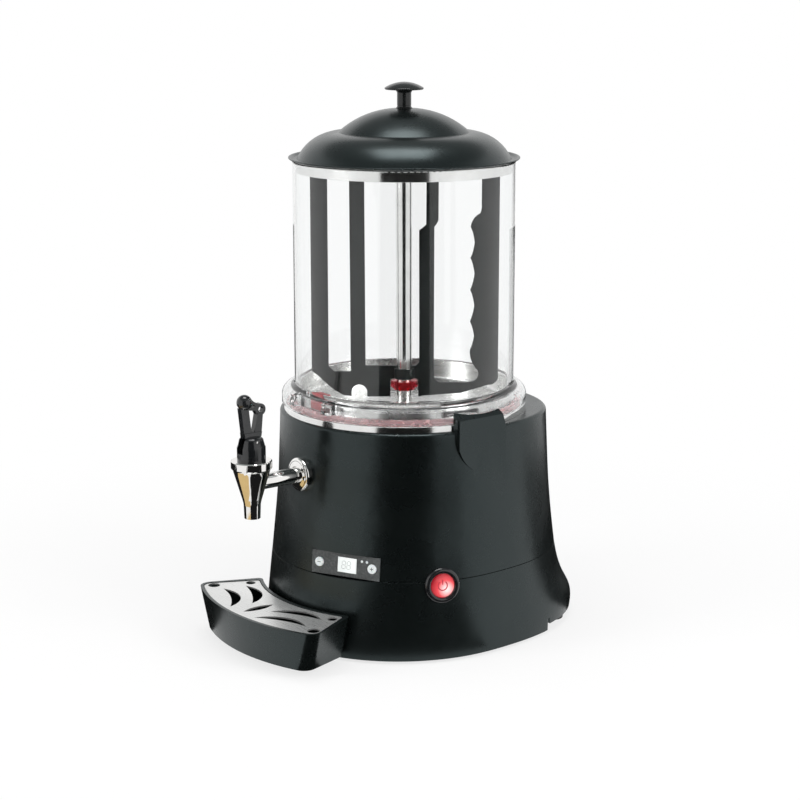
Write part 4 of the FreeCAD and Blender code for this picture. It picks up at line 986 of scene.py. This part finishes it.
def make_power_sign(glow):
    """The usual power sign on the switch: a broken ring and an upright bar."""
    work = bmesh.new()
    steps, gap, outer, inner = 28, math.radians(38.0), 5.4, 4.3
    rows = []
    for k in range(steps + 1):
        angle = math.pi / 2 + gap + (2 * math.pi - 2 * gap) * k / steps
        c, s = math.cos(angle), math.sin(angle)
        rows.append([work.verts.new((r * c, y, r * s))
                     for r, y in ((outer, -2.06), (outer, -1.6), (inner, -1.6), (inner, -2.1))])
    for a, b in zip(rows, rows[1:]):
        for i in range(4):
            j = (i + 1) % 4
            work.faces.new([a[i], a[j], b[j], b[i]])
    work.faces.new(rows[0])
    work.faces.new(rows[-1][::-1])
    sign_bars(work, [(0.0, 3.6, 1.1, 5.2)], -2.04)
    from_bmesh(work, "power_sign", glow, "power_key", SWITCH)


# Inside

def make_inside(seal, tank, acetal, gearbox, can):
    for node in ("water_tank", "heating_element", "temperature_probe", "motor_bracket",
                 "outlet_pipe"):
        carried(node, tank)
    for node in ("column_bushes", "output_gear", "shaft_bearing"):
        carried(node, acetal)
    for node in ("gearbox_housing", "gearbox_cover"):
        carried(node, gearbox)
    for node in ("motor", "motor_pinion", "thermal_cutout"):
        carried(node, can)
    carried("tank_seal", seal)


def make_inlet(black, pins):
    dressed("power_inlet", "power_inlet_gloss", black, 0.3)
    carried("inlet_pins", pins)


# Studio

def emitter(name, colour, strength):
    material = bpy.data.materials.new(name)
    material.use_nodes = True
    nodes = material.node_tree.nodes
    nodes.clear()
    emission = nodes.new("ShaderNodeEmission")
    emission.inputs["Color"].default_value = (*colour, 1.0)
    emission.inputs["Strength"].default_value = strength
    output = nodes.new("ShaderNodeOutputMaterial")
    material.node_tree.links.new(emission.outputs[0], output.inputs["Surface"])
    return material


def seen_as_white(tree):
    """1 for rays that come from the camera, or by way of a mirror-like or clear surface."""
    path = tree.nodes.new("ShaderNodeLightPath")
    total = path.outputs["Is Camera Ray"]
    for name in ("Is Glossy Ray", "Is Transmission Ray"):
        add = tree.nodes.new("ShaderNodeMath")
        add.operation = "MAXIMUM"
        tree.links.new(total, add.inputs[0])
        tree.links.new(path.outputs[name], add.inputs[1])
        total = add.outputs[0]
    return total


def make_world():
    world = bpy.data.worlds.new("pale_studio")
    scene.world = world
    world.use_nodes = True
    tree = world.node_tree
    tree.nodes.clear()
    fill = tree.nodes.new("ShaderNodeBackground")
    fill.inputs["Color"].default_value = (1.0, 1.0, 1.0, 1.0)
    fill.inputs["Strength"].default_value = 0.35
    white = tree.nodes.new("ShaderNodeBackground")
    white.inputs["Color"].default_value = (1.0, 1.0, 1.0, 1.0)
    white.inputs["Strength"].default_value = 1.0
    mix = tree.nodes.new("ShaderNodeMixShader")
    output = tree.nodes.new("ShaderNodeOutputWorld")
    tree.links.new(seen_as_white(tree), mix.inputs[0])
    tree.links.new(fill.outputs[0], mix.inputs[1])
    tree.links.new(white.outputs[0], mix.inputs[2])
    tree.links.new(mix.outputs[0], output.inputs["Surface"])


def make_floor():
    """A pale floor: white to the camera, with only the object's soft shadow on it."""
    work = bmesh.new()
    bmesh.ops.create_circle(work, cap_ends=True, segments=96, radius=6.0)
    mesh = bpy.data.meshes.new("floor")
    work.to_mesh(mesh)
    work.free()
    floor = bpy.data.objects.new("floor", mesh)
    scene.collection.objects.link(floor)
    floor.location.z = -0.0002
    material = bpy.data.materials.new("pale_floor")
    material.use_nodes = True
    tree = material.node_tree
    shader = tree.nodes["Principled BSDF"]
    shader.inputs["Roughness"].default_value = 0.9
    shader.inputs["Specular IOR Level"].default_value = 0.0
    shader.inputs["Base Color"].default_value = (0.9, 0.9, 0.9, 1.0)
    white = tree.nodes.new("ShaderNodeEmission")
    white.inputs["Strength"].default_value = 1.0
    mix = tree.nodes.new("ShaderNodeMixShader")
    place = tree.nodes.new("ShaderNodeTexCoord")
    distance = tree.nodes.new("ShaderNodeVectorMath")
    distance.operation = "LENGTH"
    tree.links.new(place.outputs["Object"], distance.inputs[0])
    fade = tree.nodes.new("ShaderNodeMapRange")
    fade.interpolation_type = "SMOOTHSTEP"
    for name, number in (("From Min", 0.12), ("From Max", 0.85), ("To Min", 0.74),
                         ("To Max", 1.0)):
        fade.inputs[name].default_value = number
    tree.links.new(distance.outputs["Value"], fade.inputs["Value"])
    share = tree.nodes.new("ShaderNodeMath")
    share.operation = "MULTIPLY"
    tree.links.new(fade.outputs["Result"], share.inputs[1])
    tree.links.new(seen_as_white(tree), share.inputs[0])
    tree.links.new(share.outputs[0], mix.inputs[0])
    tree.links.new(shader.outputs[0], mix.inputs[1])
    tree.links.new(white.outputs[0], mix.inputs[2])
    tree.links.new(mix.outputs[0], tree.nodes["Material Output"].inputs["Surface"])
    mesh.materials.append(material)


def make_card(name, first, last, material, through_glass=False):
    """A card that stands round the object between two azimuths, seen only in reflections."""
    work = bmesh.new()
    steps = 16
    rows = []
    for k in range(steps + 1):
        angle = math.radians(CAMERA_AZIMUTH + first + (last - first) * k / steps)
        x, y = CARD_DISTANCE * math.sin(angle), -CARD_DISTANCE * math.cos(angle)
        rows.append((work.verts.new((x, y, 0.0)), work.verts.new((x, y, CARD_HEIGHT))))
    for a, b in zip(rows, rows[1:]):
        work.faces.new([a[0], b[0], b[1], a[1]])
    add_card(work, name, material, through_glass)


def make_floor_card(name, first, last, inner, outer, material, centre=(0.0, 0.0),
                    height=FLOOR_CARD_Z, through_glass=False):
    """A sector on the floor, between two azimuths and two distances, seen only in reflections."""
    work = bmesh.new()
    steps = 24
    rows = []
    for k in range(steps + 1):
        angle = math.radians(CAMERA_AZIMUTH + first + (last - first) * k / steps)
        x, y = math.sin(angle), -math.cos(angle)
        rows.append([work.verts.new((centre[0] + x * r, centre[1] + y * r, height))
                     for r in (inner, outer)])
    for a, b in zip(rows, rows[1:]):
        work.faces.new([a[0], b[0], b[1], a[1]])
    add_card(work, name, material, through_glass)


def make_overhead_card(name, radius, height, material):
    work = bmesh.new()
    bmesh.ops.create_circle(work, cap_ends=True, segments=48, radius=radius)
    bmesh.ops.translate(work, vec=Vector((0, 0, height)), verts=work.verts)
    add_card(work, name, material)


def add_card(work, name, material, through_glass=False):
    mesh = bpy.data.meshes.new(name)
    work.to_mesh(mesh)
    work.free()
    mesh.materials.append(material)
    card = bpy.data.objects.new(name, mesh)
    scene.collection.objects.link(card)
    card.visible_camera = False
    card.visible_diffuse = False
    card.visible_transmission = through_glass
    card.visible_shadow = False
    card.visible_volume_scatter = False


def make_lamp(name, azimuth, height, distance, width, tall, power, mirrored=False, aim=0.3):
    data = bpy.data.lights.new(name, "AREA")
    data.shape = "RECTANGLE"
    data.size = width
    data.size_y = tall
    data.energy = power
    lamp = bpy.data.objects.new(name, data)
    angle = math.radians(CAMERA_AZIMUTH + azimuth)
    lamp.location = (distance * math.sin(angle), -distance * math.cos(angle), height)
    away = Vector((0.0, 0.0, aim)) - lamp.location
    lamp.rotation_euler = away.to_track_quat("-Z", "Y").to_euler()
    lamp.visible_glossy = mirrored
    scene.collection.objects.link(lamp)


def make_camera():
    data = bpy.data.cameras.new("camera")
    data.lens = CAMERA_LENS
    data.sensor_width = 36.0
    camera = bpy.data.objects.new("camera", data)
    angle = math.radians(CAMERA_AZIMUTH)
    camera.location = AXIS + Vector((math.sin(angle) * CAMERA_DISTANCE,
                                     -math.cos(angle) * CAMERA_DISTANCE, CAMERA_HEIGHT))
    camera.rotation_euler = (math.radians(90.0 - CAMERA_PITCH), 0.0,
                             math.radians(CAMERA_AZIMUTH + CAMERA_YAW))
    data.clip_end = 50.0
    scene.collection.objects.link(camera)
    scene.camera = camera


def make_studio():
    make_world()
    make_floor()
    dark = emitter("dark_card", (0.012, 0.012, 0.012), 1.0)
    amber = emitter("amber_card", (0.72, 0.52, 0.24), 1.0)
    dim = emitter("dim_card", (0.30, 0.32, 0.32), 1.0)
    near = (UNDER_EDGE, CASE_REACH, dark)
    far = (CASE_REACH, CARD_DISTANCE, dark)
    make_card("card_front", -24.0, 26.0, dark, True)
    make_floor_card("floor_front", -24.0, 26.0, *far, through_glass=True)
    make_floor_card("floor_front_low", -30.0, 48.0, *near)
    make_floor_card("floor_left", -180.0, -78.0, 0.12, CASE_REACH, dark)
    make_floor_card("floor_left_far", -176.0, -158.0, *far)
    make_floor_card("floor_right", 98.0, 176.0, *near)
    make_floor_card("floor_right_far", 138.0, 176.0, *far)
    make_floor_card("floor_amber", -105.0, -20.0, 0.17, 0.42, amber, TAP, AMBER_CARD_Z)
    make_overhead_card("card_overhead", CARD_DISTANCE, OVERHEAD_HEIGHT, dim)
    make_lamp("lamp_left", -66.0, 1.1, 2.2, 0.9, 1.6, 26.0)
    make_lamp("lamp_right", 58.0, 1.2, 2.2, 1.0, 1.6, 34.0)
    make_lamp("lamp_top", 0.0, 2.4, 0.12, 1.2, 1.0, 22.0, True)
    make_camera()
    scene.view_settings.view_transform = "Standard"


def make_object():
    black = moulded_black()
    steel = polished_steel()
    screw = plated_screw()
    gloss = switch_black()
    seal = grey_silicone()
    tank = drawn_steel()
    wire = wire_steel()
    make_case(black, painted_plate(), foot_rubber(), screw)
    make_bowl(clear_polycarbonate(), steel, spun_pan(), red_silicone(),
              pink_silicone(), see_through_red())
    make_lid(black, smooth_black(), steel, screw)
    make_mixer(paddle_moulding(), steel)
    make_tap(chrome_plate(), lever_black(), wire, seal)
    make_tray(black, brushed_grate())
    make_controls(panel_grey(), display_lens(), lamp_lens(), circuit_lacquer(), key_white(), gloss,
                  lit_red_cap(), display_segment(), printed_mark("dark_ink", (0.05, 0.06, 0.06)),
                  printed_mark("lit_sign", (0.50, 0.03, 0.05), 0.15))
    make_inside(seal, tank, natural_acetal(), glass_filled_grey(), zinc_can())
    make_inlet(gloss, tank)


make_object()
make_studio()
